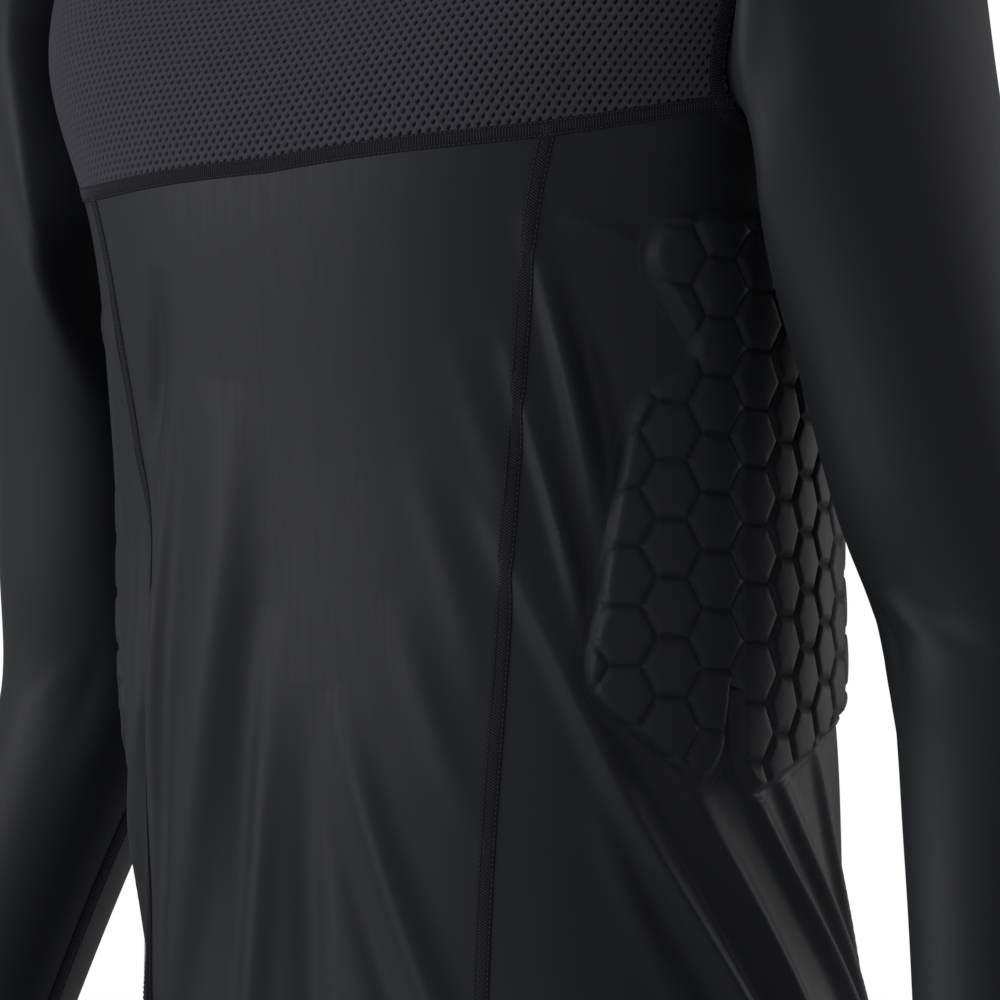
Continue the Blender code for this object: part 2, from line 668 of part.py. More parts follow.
def panels(stretch, mesh_knit):
    """The five panels of the torso, cut along the same seams."""
    yoke_top = FRONT_SEAM[-1]
    front_end = armhole([YOKE_END_STEP])[0]
    back_end = armhole([BACK_END_STEP])[0]
    half = ARMHOLE_STEPS // 2
    under_yoke = yoke_line(yoke_top.left, front_end[0], YOKE_SEAM_STEP)
    under_yoke[-1] = front_end
    across = yoke_line(0, yoke_top.left, YOKE_SEAM_STEP)
    back_rows = BACK_SEAM[:-1] + (Seam(back_end[1], back_end[0], back_end[0]),)
    back_edge = seam_line(back_rows, "left", 0, back_end[1], SEAM_STEP)
    edges = {
        side: seam_line(FRONT_SEAM, side, 0, yoke_top.level, SEAM_STEP)
        for side in ("left", "right")
    }

    def level_line(start, end, level, step):
        arcs = np.linspace(start, end, round(abs(end - start) / step) + 1)
        return np.stack([arcs, np.full(len(arcs), level)], axis=1)

    front = joined(
        level_line(-edges["right"][0][0], edges["left"][0][0], 0, HEM_STEP),
        edges["left"],
        across[::-1],
        mirrored(across[::-1]),
        mirrored(edges["right"]),
    )
    panel("front_panel", front, FRONT_CELL, stretch)

    for side, sign in (("left", 1), ("right", -1)):
        outline = joined(
            level_line(edges[side][0][0], back_edge[0][0], 0, HEM_STEP),
            back_edge,
            armhole(range(BACK_END_STEP, YOKE_END_STEP + 1)),
            under_yoke[::-1],
            edges[side][::-1],
        )
        if sign < 0:
            outline = mirrored(outline)
        panel("side_panel_" + side, outline, SIDE_CELL, stretch, pad_side=sign)

    neck_step = 2 * HALF_GIRTH / COLLAR_STEPS
    shoulder_levels = np.arange(armhole([half])[0][1], NECK_LEVEL + 1, SEAM_STEP)
    shoulder_levels = shoulder_levels[:-1].tolist() + [NECK_LEVEL]
    shoulder = np.array([(SIDE_ARC, level) for level in shoulder_levels])
    left_yoke = joined_open(
        across,
        under_yoke,
        armhole(range(YOKE_END_STEP, half + 1)),
        shoulder,
        level_line(SIDE_ARC, 0, NECK_LEVEL, neck_step),
    )
    yoke = joined(left_yoke, mirrored(left_yoke))
    panel("front_yoke", yoke, YOKE_CELL, mesh_knit, thickness=KNIT)

    left_back = joined_open(
        level_line(HALF_GIRTH, SIDE_ARC, NECK_LEVEL, neck_step),
        shoulder[::-1],
        armhole(range(half, ARMHOLE_STEPS + BACK_END_STEP + 1)),
        back_edge[::-1],
        level_line(back_edge[0][0], HALF_GIRTH, 0, HEM_STEP),
    )
    right_back = left_back[::-1] * [-1, 1] + [2 * HALF_GIRTH, 0]
    panel("back_panel", joined(right_back, left_back), BACK_CELL, stretch)


for old in list(bpy.data.objects):
    bpy.data.objects.remove(old)
COLLECTION = bpy.data.collections.new("padded_compression_shirt")
bpy.context.scene.collection.children.link(COLLECTION)
STRETCH = fabric("stretch_cloth", (0.028, 0.029, 0.033), 0.55)
MESH_KNIT = fabric("mesh_knit", (0.045, 0.043, 0.055), 0.75)
panels(STRETCH, MESH_KNIT)
for side in ("left", "right"):
    sleeve(side, STRETCH)
collar(STRETCH)
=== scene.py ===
# %% [markdown]
# # A padded compression shirt
#
# This is a long-sleeved sports shirt of stretch cloth. The real one is sewn from eight
# pieces: a mesh yoke over the chest, a centre front, two side panels with a honeycomb pad
# over the ribs, a back, two sleeves and a neck band. It is shown as it is worn, hollow and
# with no wearer.
#
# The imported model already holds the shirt's plain form. This file dresses it: each piece is
# made again as fine cloth on the same form, then come the pads, the mesh, the seams and
# their stitches, and at the end the light and the camera.

import math
from collections import namedtuple
from functools import partial

import bpy
import numpy as np
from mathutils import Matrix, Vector
from mathutils.bvhtree import BVHTree
from mathutils.geometry import delaunay_2d_cdt


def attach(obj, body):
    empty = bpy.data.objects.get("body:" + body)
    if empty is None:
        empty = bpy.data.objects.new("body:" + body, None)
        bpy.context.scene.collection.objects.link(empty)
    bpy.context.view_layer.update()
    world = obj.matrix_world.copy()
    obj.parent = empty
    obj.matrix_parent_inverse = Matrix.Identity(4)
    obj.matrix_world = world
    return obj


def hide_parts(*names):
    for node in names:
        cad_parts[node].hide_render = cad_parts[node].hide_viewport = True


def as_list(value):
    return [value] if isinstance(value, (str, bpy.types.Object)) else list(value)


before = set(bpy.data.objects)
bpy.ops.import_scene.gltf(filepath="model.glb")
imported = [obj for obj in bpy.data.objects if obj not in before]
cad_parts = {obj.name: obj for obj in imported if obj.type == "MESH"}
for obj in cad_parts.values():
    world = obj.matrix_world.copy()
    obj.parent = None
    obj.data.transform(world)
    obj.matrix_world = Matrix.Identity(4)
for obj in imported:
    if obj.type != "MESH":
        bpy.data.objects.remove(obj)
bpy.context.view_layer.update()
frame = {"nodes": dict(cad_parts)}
scene = bpy.context.scene
print("nodes:", ", ".join(frame["nodes"]))

# %% [markdown]
# ## The cut, in millimetres
#
# A maker plans a shirt on flat paper. We do the same: every place on the body has an arc,
# the distance round from the centre front (the wearer's left is positive), and a level, the
# distance up from the hem. Seams, pads, folds and stitches are all drawn in these two
# numbers, and one function turns them into places in space. So a seam is one short table,
# and both pieces that meet there follow it exactly.

# %% Main sizes
MM = 0.001
SHIRT_LENGTH = 720.0  # shoulder line at the neck to the hem
HALF_GIRTH = 480.0  # centre front to centre back
SEAM_GAP = 0.4  # between two pieces at a seam
CLOTH = 1.1  # stretch cloth
HEM_CLOTH = 2.0  # where it is turned up at the hem and cuffs
HEM_DEPTH = 22.0
HEM_EASE = 3.0  # the height over which it grows that thick
NECK_LEVEL = 732.0
COLLAR_LEVEL = 752.0
SIDE_ARC = HALF_GIRTH / 2
SIDES = {"left": 1, "right": -1}  # with the sign of their arcs

# %% Rings of the torso
# The z columns are the ring's height at the centre front, the side and the centre back.
Ring = namedtuple(
    "Ring", "level z_front z_side z_back half_width side_y front_y back_y fullness"
)
TORSO = (
    Ring(0, -SHIRT_LENGTH, -SHIRT_LENGTH, -SHIRT_LENGTH, 163, 26, -97, 152, 2.30),
    Ring(80, -640, -640, -640, 160, 24, -101, 146, 2.30),
    Ring(144, -576, -576, -576, 154, 18, -108, 136, 2.30),
    Ring(213, -507, -507, -507, 152, 5, -116, 123, 2.30),
    Ring(277, -443, -443, -443, 159, 0, -122, 114, 2.30),
    Ring(359, -361, -361, -361, 160, -1, -128, 111, 2.30),
    Ring(425, -297, -295, -295, 165, -2, -137, 120, 2.35),
    Ring(495, -228, -225, -225, 175, -3, -144, 126, 2.45),
    Ring(559, -170, -160, -160, 198, 0, -134, 128, 2.80),
    Ring(612, -128, -98, -108, 203, 4, -114, 116, 2.70),
    Ring(660, -101, -50, -64, 190, 8, -90, 92, 2.35),
    Ring(708, -90, -18, -32, 112, 6, -79, 70, 2.10),
    Ring(732, -85, -2, -18, 78, 4, -75, 60, 2.00),
    Ring(752, -70, 16, 1, 71, 4, -66, 57, 2.00),
)

# %% Seams
Seam = namedtuple("Seam", "level left right")
FRONT_SEAM = (
    Seam(0, 72, 101),
    Seam(140, 81, 109),
    Seam(220, 94, 107),
    Seam(300, 102, 104),
    Seam(380, 109, 107),
    Seam(450, 115, 113),
    Seam(492, 121, 121),
)
BACK_SEAM = (
    Seam(0, 370, 370),
    Seam(160, 370, 370),
    Seam(300, 362, 362),
    Seam(420, 346, 346),
    Seam(555, 312, 312),
)
YokeSeam = namedtuple("YokeSeam", "arc level")
YOKE_SEAM = (YokeSeam(0, 487.5), YokeSeam(66, 489.5), YokeSeam(121, 492), YokeSeam(193, 505.5))

# %% Armhole and sleeve
ARMHOLE_LEVEL = 577.0
ARMHOLE_HALF_HEIGHT = 80.0
ARMHOLE_FRONT = 58.0
ARMHOLE_BACK = 74.0
ARMHOLE_FULLNESS = 2.2
ARMHOLE_FRONT_FULLNESS = 4.5
ARMHOLE_STEPS = 28
YOKE_END_STEP = 3
BACK_END_STEP = -6
SLEEVE_STAND = 2.5
Cuff = namedtuple("Cuff", "x_in z_in x_out z_out y right_y half_depth fullness right_fullness")
SLEEVE = (
    Cuff(186, -238, 218, -66, -11, -9, 73, 3.3, 5.5),
    Cuff(188, -252, 237, -108, -12, -10, 70, 3.2, 5.5),
    Cuff(184, -275, 250, -172, -10, -9, 66, 2.8, 5.0),
    Cuff(179, -302, 260, -245, -2, -2, 61, 2.4, 4.0),
    Cuff(180, -338, 268, -318, 8, 6, 54, 2.2, 3.0),
    Cuff(189, -398, 276, -382, 20, 14, 48, 2.1, 2.3),
    Cuff(198, -438, 283, -424, 32, 22, 46, 2.0, 2.0),
    Cuff(213, -485, 291, -465, 17, 14, 43, 2.0, 2.0),
    Cuff(234, -552, 301, -536, -9, -3, 39, 2.0, 2.0),
    Cuff(253, -625, 312, -612, -33, -21, 34, 2.0, 2.0),
    Cuff(267, -676, 321, -664, -48, -32, 30, 2.0, 2.0),
)

# %% Rib pad
RIGHT_PAD_SHIFT = 10.0  # the right pad sits a little further round
PAD_HEIGHT = 6.0
PAD_BEVEL = 4.6
PAD_FLANGE = 3.2  # the bonded margin round the pad
FLANGE_HEIGHT = 0.4
HEX_PITCH = 24.0
HEX_ORIGIN = np.array([194.0, 262.0])
Corner = namedtuple("Corner", "arc level round")
PAD = (
    Corner(133, 262, 16),
    Corner(190, 223, 13),
    Corner(202, 240, 5),
    Corner(204, 268, 2),
    Corner(206, 238, 5),
    Corner(216, 221, 13),
    Corner(318, 270, 22),
    Corner(320, 440, 26),
    Corner(300, 474, 18),
    Corner(166, 458, 11),
    Corner(159, 438, 10),
    Corner(182, 403, 5),
    Corner(156, 385, 12),
)

# %% [markdown]
# ## From the paper to the body
#
# The body is a stack of rounded rings. A smooth curve through each column of their table
# gives a ring at any level, and each ring is walked in even steps from the centre front
# to the centre back. That gives a net of places, and looking a place up in the net is a
# plain weighted mean of its four neighbours. A net is quicker than solving the curve for
# every point, and numpy looks up tens of thousands of places at once.

# %% Smooth curves
def spline(xs, ys):
    """A smooth curve through the points, as a function (natural cubic spline)."""
    xs, ys = np.asarray(xs, float), np.asarray(ys, float)
    h, slope = np.diff(xs), np.diff(ys) / np.diff(xs)
    n = len(xs)
    a = np.eye(n)
    b = np.zeros(n)
    for i in range(1, n - 1):
        a[i, i - 1 : i + 2] = h[i - 1], 2 * (h[i - 1] + h[i]), h[i]
        b[i] = 6 * (slope[i] - slope[i - 1])
    m = np.linalg.solve(a, b)

    def at(x):
        i = np.clip(np.searchsorted(xs, x) - 1, 0, n - 2)
        t = x - xs[i]
        bend = (m[i + 1] - m[i]) / (6 * h[i])
        first = slope[i] - h[i] * (2 * m[i] + m[i + 1]) / 6
        return ys[i] + t * first + t * t * m[i] / 2 + t**3 * bend

    return at


# %% The net of the torso
RING_POINTS = 1441
NET_LEVELS = 377
NET_COLUMNS = 241


def powered(value, power):
    """A sine or cosine raised to a power, with its sign kept."""
    return np.sign(value) * np.abs(value) ** power


def torso_net(levels, columns):
    """Points of the left half of the torso, from the centre front to the back."""
    curve = {
        name: spline([r.level for r in TORSO], [getattr(r, name) for r in TORSO])
        for name in Ring._fields[1:]
    }
    net = np.zeros((len(levels), len(columns), 3))
    angle = np.linspace(0, math.pi, RING_POINTS)
    side = RING_POINTS // 2
    sin, cos = np.abs(np.sin(angle)), np.cos(angle)
    for i, level in enumerate(levels):
        r = {name: float(at(level)) for name, at in curve.items()}
        power = 2 / r["fullness"]
        reach = np.where(cos > 0, r["front_y"] - r["side_y"], r["side_y"] - r["back_y"])
        end = np.where(cos > 0, r["z_front"], r["z_back"])
        x = r["half_width"] * sin**power
        y = r["side_y"] + reach * powered(cos, power)
        z = r["z_side"] + (end - r["z_side"]) * cos**2
        ring = np.stack([x, y, z], axis=1)
        run = np.concatenate([[0], np.linalg.norm(np.diff(ring, axis=0), axis=1).cumsum()])
        front_share = run / run[side] / 2
        back_share = 0.5 + (run - run[side]) / (run[-1] - run[side]) / 2
        share = np.where(run <= run[side], front_share, back_share)
        for k in range(3):
            net[i, :, k] = np.interp(columns, share, ring[:, k])
    return net


LEVELS = np.linspace(0, COLLAR_LEVEL, NET_LEVELS)
COLUMNS = np.linspace(0, 1, NET_COLUMNS)
NET = torso_net(LEVELS, COLUMNS)
ALONG = np.gradient(NET, LEVELS, axis=0)
ROUND = np.gradient(NET, COLUMNS * HALF_GIRTH, axis=1)
ROUND[:, 0, 1:] = 0
ROUND[:, -1, 1:] = 0
print("torso net:", NET_LEVELS, "levels,", NET_COLUMNS, "columns")


# %% Looking a place up
def lookup(field, row, column):
    """A net's field at fractional rows and columns."""
    i = np.clip(row.astype(int), 0, field.shape[0] - 2)
    j = np.clip(column.astype(int), 0, field.shape[1] - 2)
    s, t = (row - i)[..., None], (column - j)[..., None]
    near = field[i, j] * (1 - t) + field[i, j + 1] * t
    far = field[i + 1, j] * (1 - t) + field[i + 1, j + 1] * t
    return near * (1 - s) + far * s


def signed(arc):
    """The arc as measured the short way round from the centre front."""
    return (arc + HALF_GIRTH) % (2 * HALF_GIRTH) - HALF_GIRTH


def net_at(field, arc, level):
    """A field of the torso net. Right-hand places have an arc below 0."""
    column = np.clip(np.abs(signed(arc)) / HALF_GIRTH, 0, 1) * (len(COLUMNS) - 1)
    row = np.clip(level / COLLAR_LEVEL, 0, 1) * (len(LEVELS) - 1)
    return lookup(field, row, column)


# %% [markdown]
# ## Folds
#
# Stretch cloth has few folds, but they make it look like cloth. On the photo they run
# down the centre front, fan out under the rib pad, and cross the little field between
# the front seam and the pad. Each is a soft ridge along a bowed line. Its two sides may
# differ: a steep side catches a hard shadow, a wide one fades out. They are placed one
# by one, because a simulation would give folds, but not these folds.

# %% Fold table
# start and end are the fold's strength at its two ends; steep narrows its right side.
Fold = namedtuple("Fold", "arc level to_arc to_level bow width height start end steep")
FOLDS = (
    # Down the centre front, from the chest to the hem
    Fold(-69, 452, -94, 366, 2, 7, -5.0, 0.0, 0.0, 1.0),
    Fold(-66, 408, -112, 40, -15, 7, 7.5, 0.0, 0.7, 0.9),
    Fold(-106, 376, -126, 190, 0, 8, -6.5, 0.0, 0.0, 1.0),
    Fold(-32, 400, -116, 120, 17, 15, 9.0, 0.0, 0.7, 1.5),
    Fold(-16, 330, -66, 110, 5, 10, -3.0, 0.0, 0.5, 1.0),
    Fold(-16, 304, -62, 20, 2, 10, 5.5, 0.0, 0.9, 0.9),
    Fold(4, 272, -18, 20, 0, 10, -4.0, 0.0, 0.8, 1.0),
    Fold(18, 268, 94, 40, -2, 9, 5.0, 0.0, 0.8, 0.7),
    Fold(11, 230, 62, 60, -2, 8, -3.0, 0.0, 0.6, 1.0),
    Fold(50, 302, 88, 206, -2, 9, 2.2, 0.0, 0.0, 0.8),
    Fold(59, 362, 93, 258, 2, 9, 1.6, 0.0, 0.0, 0.8),
    Fold(80, 408, 111, 322, 0, 8, 1.6, 0.0, 0.0, 0.8),
    # Left side, drawn from the front seam down to the pad and round to the back
    Fold(126, 456, 158, 447, 0, 4, 2.5, 0.2, 0.0, 1.0),
    Fold(116, 446, 143, 322, 2, 7, 7.0, 0.3, 0.0, 0.6),
    Fold(126, 436, 154, 330, 2, 7, -5.0, 0.1, 0.0, 1.0),
    Fold(108, 392, 138, 278, 2, 8, 7.0, 0.3, 0.0, 0.5),
    Fold(117, 376, 146, 272, 2, 7, -5.5, 0.1, 0.0, 1.0),
    Fold(105, 316, 246, 40, 0, 12, 11.0, 0.3, 0.8, 0.5),
    Fold(122, 290, 268, 50, 0, 9, -7.0, 0.2, 0.7, 1.2),
    Fold(140, 236, 176, 120, -6, 7, 2.5, 0.0, 0.0, 1.0),
    Fold(185, 224, 266, 60, 6, 7, 6.5, 0.3, 0.6, 0.7),
    Fold(208, 240, 332, 70, 0, 6, 7.0, 0.3, 0.7, 0.8),
    Fold(237, 234, 338, 60, 7, 6, 6.5, 0.3, 0.7, 0.8),
    Fold(267, 250, 316, 110, 8, 6, 5.0, 0.3, 0.5, 0.7),
    Fold(300, 262, 350, 150, 4, 8, 4.0, 0.2, 0.2, 1.0),
    # Right side, the same cut hanging a little differently
    Fold(-146, 424, -152, 200, 0, 9, 5.0, 0.2, 0.2, 1.0),
    Fold(-116, 434, -138, 335, -2, 7, 4.0, 0.1, 0.1, 1.0),
    Fold(-110, 312, -232, 50, 3, 10, 8.5, 0.2, 0.8, 1.8),
    Fold(-126, 286, -252, 52, 2, 8, -5.5, 0.2, 0.7, 1.0),
    Fold(-190, 216, -262, 66, -5, 6, 5.0, 0.3, 0.7, 1.5),
    Fold(-220, 230, -318, 70, -3, 6, 5.5, 0.2, 0.8, 1.5),
    Fold(-254, 232, -338, 76, -6, 6, 5.0, 0.2, 0.8, 1.4),
    Fold(-286, 248, -330, 110, -5, 7, 4.5, 0.2, 0.6, 1.0),
    # Back, hanging from the shoulder blades over the seat
    Fold(430, 400, 408, 10, 6, 14, 5.0, 0.0, 0.8, 1.0),
    Fold(-432, 380, -400, 10, -8, 14, 5.0, 0.0, 0.8, 1.0),
    Fold(392, 330, 352, 40, 6, 11, 4.0, 0.0, 0.6, 1.0),
    Fold(-384, 320, -346, 30, -6, 11, 4.0, 0.0, 0.6, 1.0),
    Fold(452, 280, 470, 90, -4, 9, 3.5, 0.0, 0.3, 1.0),
    Fold(330, 480, 392, 400, 6, 8, 3.0, 0.1, 0.0, 1.0),
    Fold(-334, 486, -402, 398, -6, 8, 3.0, 0.1, 0.0, 1.0),
)
PAD_HOLD = 14.0  # over this width the pad comes to hold the cloth flat
PAD_REACH = 7.0  # and this much of it lies outside the pad


# %% Distance to an outline
def distance_to(points, outline):
    """How far each point is from a closed outline, above 0 inside it."""
    a, b = outline, np.roll(outline, -1, axis=0)
    edge = b - a
    away = points[:, None] - a
    t = np.clip((away * edge).sum(axis=2) / (edge * edge).sum(axis=1), 0, 1)
    apart = np.linalg.norm(away - t[:, :, None] * edge, axis=2).min(axis=1)
    crosses = (a[:, 1] > points[:, 1:]) != (b[:, 1] > points[:, 1:])
    drop = np.where(edge[:, 1] == 0, 1, edge[:, 1])
    to_the_left = points[:, :1] < a[:, 0] + edge[:, 0] * away[:, :, 1] / drop
    inside = (crosses & to_the_left).sum(axis=1) % 2 == 1
    return np.where(inside, apart, -apart)


def eased(t):
    """A soft step from 0 to 1."""
    t = np.clip(t, 0, 1)
    return t * t * (3 - 2 * t)


def rounded(corners, steps=6):
    """A closed outline with each corner turned in an arc."""
    spots = np.array([[c.arc, c.level] for c in corners], float)
    outline = []
    for i, corner in enumerate(corners):
        before, here, after = spots[i - 1], spots[i], spots[(i + 1) % len(spots)]
        a = here + (before - here) * corner.round / np.hypot(*(before - here))
        b = here + (after - here) * corner.round / np.hypot(*(after - here))
        for t in np.linspace(0, 1, steps):
            outline.append((1 - t) ** 2 * a + 2 * t * (1 - t) * here + t * t * b)
    return np.array(outline)


def as_left_pad(arc, level):
    """Where places on either side of the body lie on the left pad."""
    return np.stack([np.where(arc < 0, -arc - RIGHT_PAD_SHIFT, arc), level], axis=1)


def on_side(points, side):
    """Places of the left pad as they lie on the body: side is 1 or -1."""
    return points * [side, 1] - [RIGHT_PAD_SHIFT * (side < 0), 0]


PAD_OUTLINE = rounded(PAD)
print("pad outline:", len(PAD_OUTLINE), "points")


# %% Places on the cloth
def fold_height(arc, level):
    """How far the folds lift the cloth off its plain form."""
    total = np.zeros(len(arc))
    for f in FOLDS:
        along = np.array([f.to_arc - f.arc, f.to_level - f.level], float)
        length = np.hypot(*along)
        along /= length
        across = np.array([-along[1], along[0]])
        away = np.stack([arc - f.arc, level - f.level], axis=1)
        t = np.clip(away @ along / length, 0, 1)
        beside = away @ across - f.bow * 4 * t * (1 - t)
        past = away @ along - t * length
        ends = f.start * (1 - t) + f.end * t
        strength = ends + (1 - ends) * np.sin(math.pi * t)
        width = np.where(beside > 0, f.width, f.width * f.steep)
        shape = np.exp(-((beside / width) ** 2) - (past / (2 * f.width)) ** 2)
        total += f.height * strength * shape
    on_pad = distance_to(as_left_pad(arc, level), PAD_OUTLINE)
    return total * (1 - eased((on_pad + PAD_REACH) / PAD_HOLD))


def torso(places, lift=0.0):
    """Points and normals on the torso at places (arc, level), lifted off it."""
    flat = np.asarray(places, float).reshape(-1, 2)
    arc, level = signed(flat[:, 0]), flat[:, 1]
    normal = np.cross(net_at(ROUND, arc, level), net_at(ALONG, arc, level))
    normal /= np.linalg.norm(normal, axis=1)[:, None]
    mirror = np.where(arc[:, None] < 0, [-1.0, 1.0, 1.0], [1.0, 1.0, 1.0])
    normal = normal * mirror
    height = (fold_height(arc, level) + np.ravel(lift))[:, None]
    point = net_at(NET, arc, level) * mirror + normal * height
    shape = np.shape(places)[:-1] + (3,)
    return point.reshape(shape), normal.reshape(shape)


# %% [markdown]
# ## A wall of cloth
#
# Blender's Solidify modifier would give each piece its thickness, but it makes the inside
# as fine as the outside. Nobody looks at the inside for long, so this helper makes it
# from every third row and column, and saves a third of the faces. The outside is a grid
# of squares, which shades smoothly and can carry a UV map in real metres for the weave.

# %% Grids and walls
INSIDE_STEP = 3


def level_line(arcs, level):
    """Places at the given arcs, all on one level."""
    return np.stack([arcs, np.full(len(arcs), level)], axis=1)


def lined(points, rows, columns, stride=1, ring=False):
    """Faces of a grid whose points are numbered row by row."""
    faces = []
    last = columns if ring else columns - 1
    for i in range(0, rows - 1, stride):
        for j in range(0, last, stride):
            k = (j + stride) % columns
            a, b = points[i * columns + j], points[i * columns + k]
            c, d = points[(i + stride) * columns + k], points[(i + stride) * columns + j]
            faces.append((a, b, c, d))
    return faces


def cloth_wall(name, outer, inner, uv, material, ring=False):
    """A closed wall from its outer and inner grids, with a coarser inside."""
    rows, columns = outer.shape[:2]
    stride = INSIDE_STEP
    numbers = range(rows * columns)
    faces = lined(numbers, rows, columns, 1, ring)
    kept = {}
    for i in range(0, rows, stride):
        for j in range(0, columns, stride):
            kept[i * columns + j] = rows * columns + len(kept)
    place = [kept.get(n) for n in numbers]
    faces += [f[::-1] for f in lined(place, rows, columns, stride, ring)]
    across = [j % columns for j in range(columns + ring)]
    down = [i * columns for i in range(rows)]
    edges = [across, [down[-1] + j for j in across[::-1]]]
    if not ring:
        edges += [[i + columns - 1 for i in down], down[::-1]]
    for edge in edges:
        for k in range(0, len(edge) - 1, stride):
            piece = edge[k : k + stride + 1]
            faces.append((*piece[::-1], kept[piece[0]], kept[piece[-1]]))
    chosen = sorted(kept, key=kept.get)
    points = np.concatenate([outer.reshape(-1, 3), inner.reshape(-1, 3)[chosen]]) * MM
    uvs = np.concatenate([uv.reshape(-1, 2), uv.reshape(-1, 2)[chosen]]) * MM
    return made(name, points, faces, uvs, material)


# %% Meshes
def placed(name, data):
    """A new object in the scene."""
    new = bpy.data.objects.new(name, data)
    scene.collection.objects.link(new)
    return new


def read(items, field, width=1, kind=float):
    """One field of all the items of a mesh, as rows of numbers."""
    values = np.zeros(len(items) * width, kind)
    items.foreach_get(field, values)
    return values.reshape(-1, width)


def made(name, points, faces, uvs, material, crease=50):
    """A smooth mesh object from points in metres, with a UV for each point. Edges that
    bend by more than crease, in degrees, stay sharp."""
    mesh = bpy.data.meshes.new(name)
    mesh.from_pydata(np.asarray(points).tolist(), [], faces)
    mesh.validate()
    if uvs is not None:
        corner = read(mesh.loops, "vertex_index", kind=int)[:, 0]
        layer = mesh.uv_layers.new(name="cloth")
        layer.data.foreach_set("uv", np.asarray(uvs)[corner].astype(np.float32).ravel())
    mesh.shade_smooth()
    mesh.set_sharp_from_angle(angle=math.radians(crease))
    mesh.materials.append(material)
    return placed(name, mesh)


# %% [markdown]
# ## Cloth and thread
#
# The shirt is one colour, so its finishes must tell the pieces apart. The stretch cloth
# is a fine nylon knit: charcoal, smooth, with a soft sheen and faint grain down its
# length. The mesh is duller and a little purple. Its ground, the backing under the
# eyelets, is painted darker than the knit, as painted shade in the eyelets, and the thread
# is painted lighter than the cloth, as painted highlight for the glints on its stitches.
# Each finish is a few nodes: noise for slow changes of colour and gloss, and a very fine
# rib for the knit, both read from the UV map so that they follow the cloth.

# %% Node helpers
def feed(tree, target, inputs):
    """Sets a node's inputs. Each is a plain value or the socket that it comes from."""
    for name, value in inputs.items():
        if isinstance(value, bpy.types.NodeSocket):
            tree.links.new(value, target.inputs[name])
        else:
            target.inputs[name].default_value = value


def new_node(tree, kind, inputs=None, **settings):
    """A node with its settings, such as its operation, and its inputs."""
    new = tree.nodes.new(kind)
    for name, value in settings.items():
        setattr(new, name, value)
    feed(tree, new, inputs or {})
    return new


# %% A knit finish
GRAIN_SCALE = (420.0, 26.0, 1.0)  # fine across the cloth, long down it
ROUGHNESS_SPREAD = 0.06
RIB_BUMP = 0.35
SHEEN_ROUGHNESS = 0.45
SHEEN_TINT = (0.75, 0.78, 0.86, 1.0)


def finish(name, colour, roughness, sheen, grain, rib_pitch, rib_depth, gloss):
    """A knit finish. grain is how far its colour varies, rib_pitch its rib's width."""
    material = bpy.data.materials.new(name)
    material.use_nodes = True
    tree = material.node_tree
    add = partial(new_node, tree)
    uv = add("ShaderNodeUVMap", uv_map="cloth").outputs["UV"]
    stretch = add("ShaderNodeMapping", {"Vector": uv, "Scale": GRAIN_SCALE})
    along = stretch.outputs["Vector"]
    noise = add("ShaderNodeTexNoise", {"Vector": along, "Scale": 1.0, "Detail": 5.0})
    change = noise.outputs["Fac"]
    dark, light = ((*(c * (1 + by) for c in colour), 1) for by in (-grain, grain))
    tint = add("ShaderNodeMix", {"Factor": change, "A": dark, "B": light}, data_type="RGBA")
    worn = add("ShaderNodeMapRange", {
        "Value": change,
        "To Min": roughness - ROUGHNESS_SPREAD,
        "To Max": roughness + ROUGHNESS_SPREAD,
    })
    rib = add("ShaderNodeTexWave", {
        "Vector": uv,
        "Scale": 2 * math.pi / 20 / (rib_pitch * MM),
        "Distortion": 0.6,
        "Detail": 1.0,
    }, wave_profile="SIN")
    bump = add("ShaderNodeBump", {
        "Height": rib.outputs["Color"],
        "Strength": RIB_BUMP,
        "Distance": rib_depth * MM,
    })
    feed(tree, tree.nodes["Principled BSDF"], {
        "Base Color": tint.outputs["Result"],
        "Metallic": 0.0,
        "Roughness": worn.outputs["Result"],
        "Specular IOR Level": gloss,
        "Sheen Weight": sheen,
        "Sheen Roughness": SHEEN_ROUGHNESS,
        "Sheen Tint": SHEEN_TINT,
        "Normal": bump.outputs["Normal"],
    })
    return material


# %% Finishes
# In each row: roughness, sheen, grain, rib width and depth in mm, gloss.
stretch_cloth = finish("stretch_cloth", (0.0205, 0.0225, 0.0280), 0.56, 0.05, 0.06, 0.5, 0.03, 0.36)
mesh_knit = finish("mesh_knit", (0.080, 0.076, 0.094), 0.8, 0.03, 0.12, 0.7, 0.05, 0.15)
# The ground is the mesh's real backing; its colour, darker than the knit, is painted shade in the
# eyelets.
mesh_ground = finish("mesh_ground", (0.024, 0.022, 0.029), 0.85, 0.0, 0.15, 0.7, 0.05, 0.1)
seam_tape = finish("seam_tape", (0.022, 0.0228, 0.0278), 0.85, 0.0, 0.1, 0.5, 0.03, 0.1)
# A real thread, painted lighter than the cloth as painted highlight for the glints on its stitches.
thread = finish("sewing_thread", (0.054, 0.054, 0.064), 0.6, 0.05, 0.2, 0.3, 0.02, 0.3)
print("finishes:", ", ".join(m.name for m in bpy.data.materials))


# %% [markdown]
# ## The five pieces of the body
#
# Each piece of the body has four edges, some of them bent, as a shirt piece on paper has.
# A Coons patch fills four edges with a grid: it blends the two side edges across, the top
# and bottom edges upwards, and takes away what was counted twice. So the squares run with
# the seams, as the grain of real cloth does.

# %% Edge lines
def evenly(line, count):
    """The same line with a number of evenly spaced points."""
    line = np.asarray(line, float)
    run = np.concatenate([[0], np.hypot(*np.diff(line, axis=0).T).cumsum()])
    places = np.linspace(0, run[-1], count)
    return np.stack([np.interp(places, run, line[:, k]) for k in range(2)], axis=1)


def seam_line(seam, side, start, end):
    """Places along a seam that climbs, as if on the left side."""
    at = spline([s.level for s in seam], [getattr(s, side) for s in seam])
    levels = np.linspace(start, end, 200)
    return np.stack([at(levels), levels], axis=1)


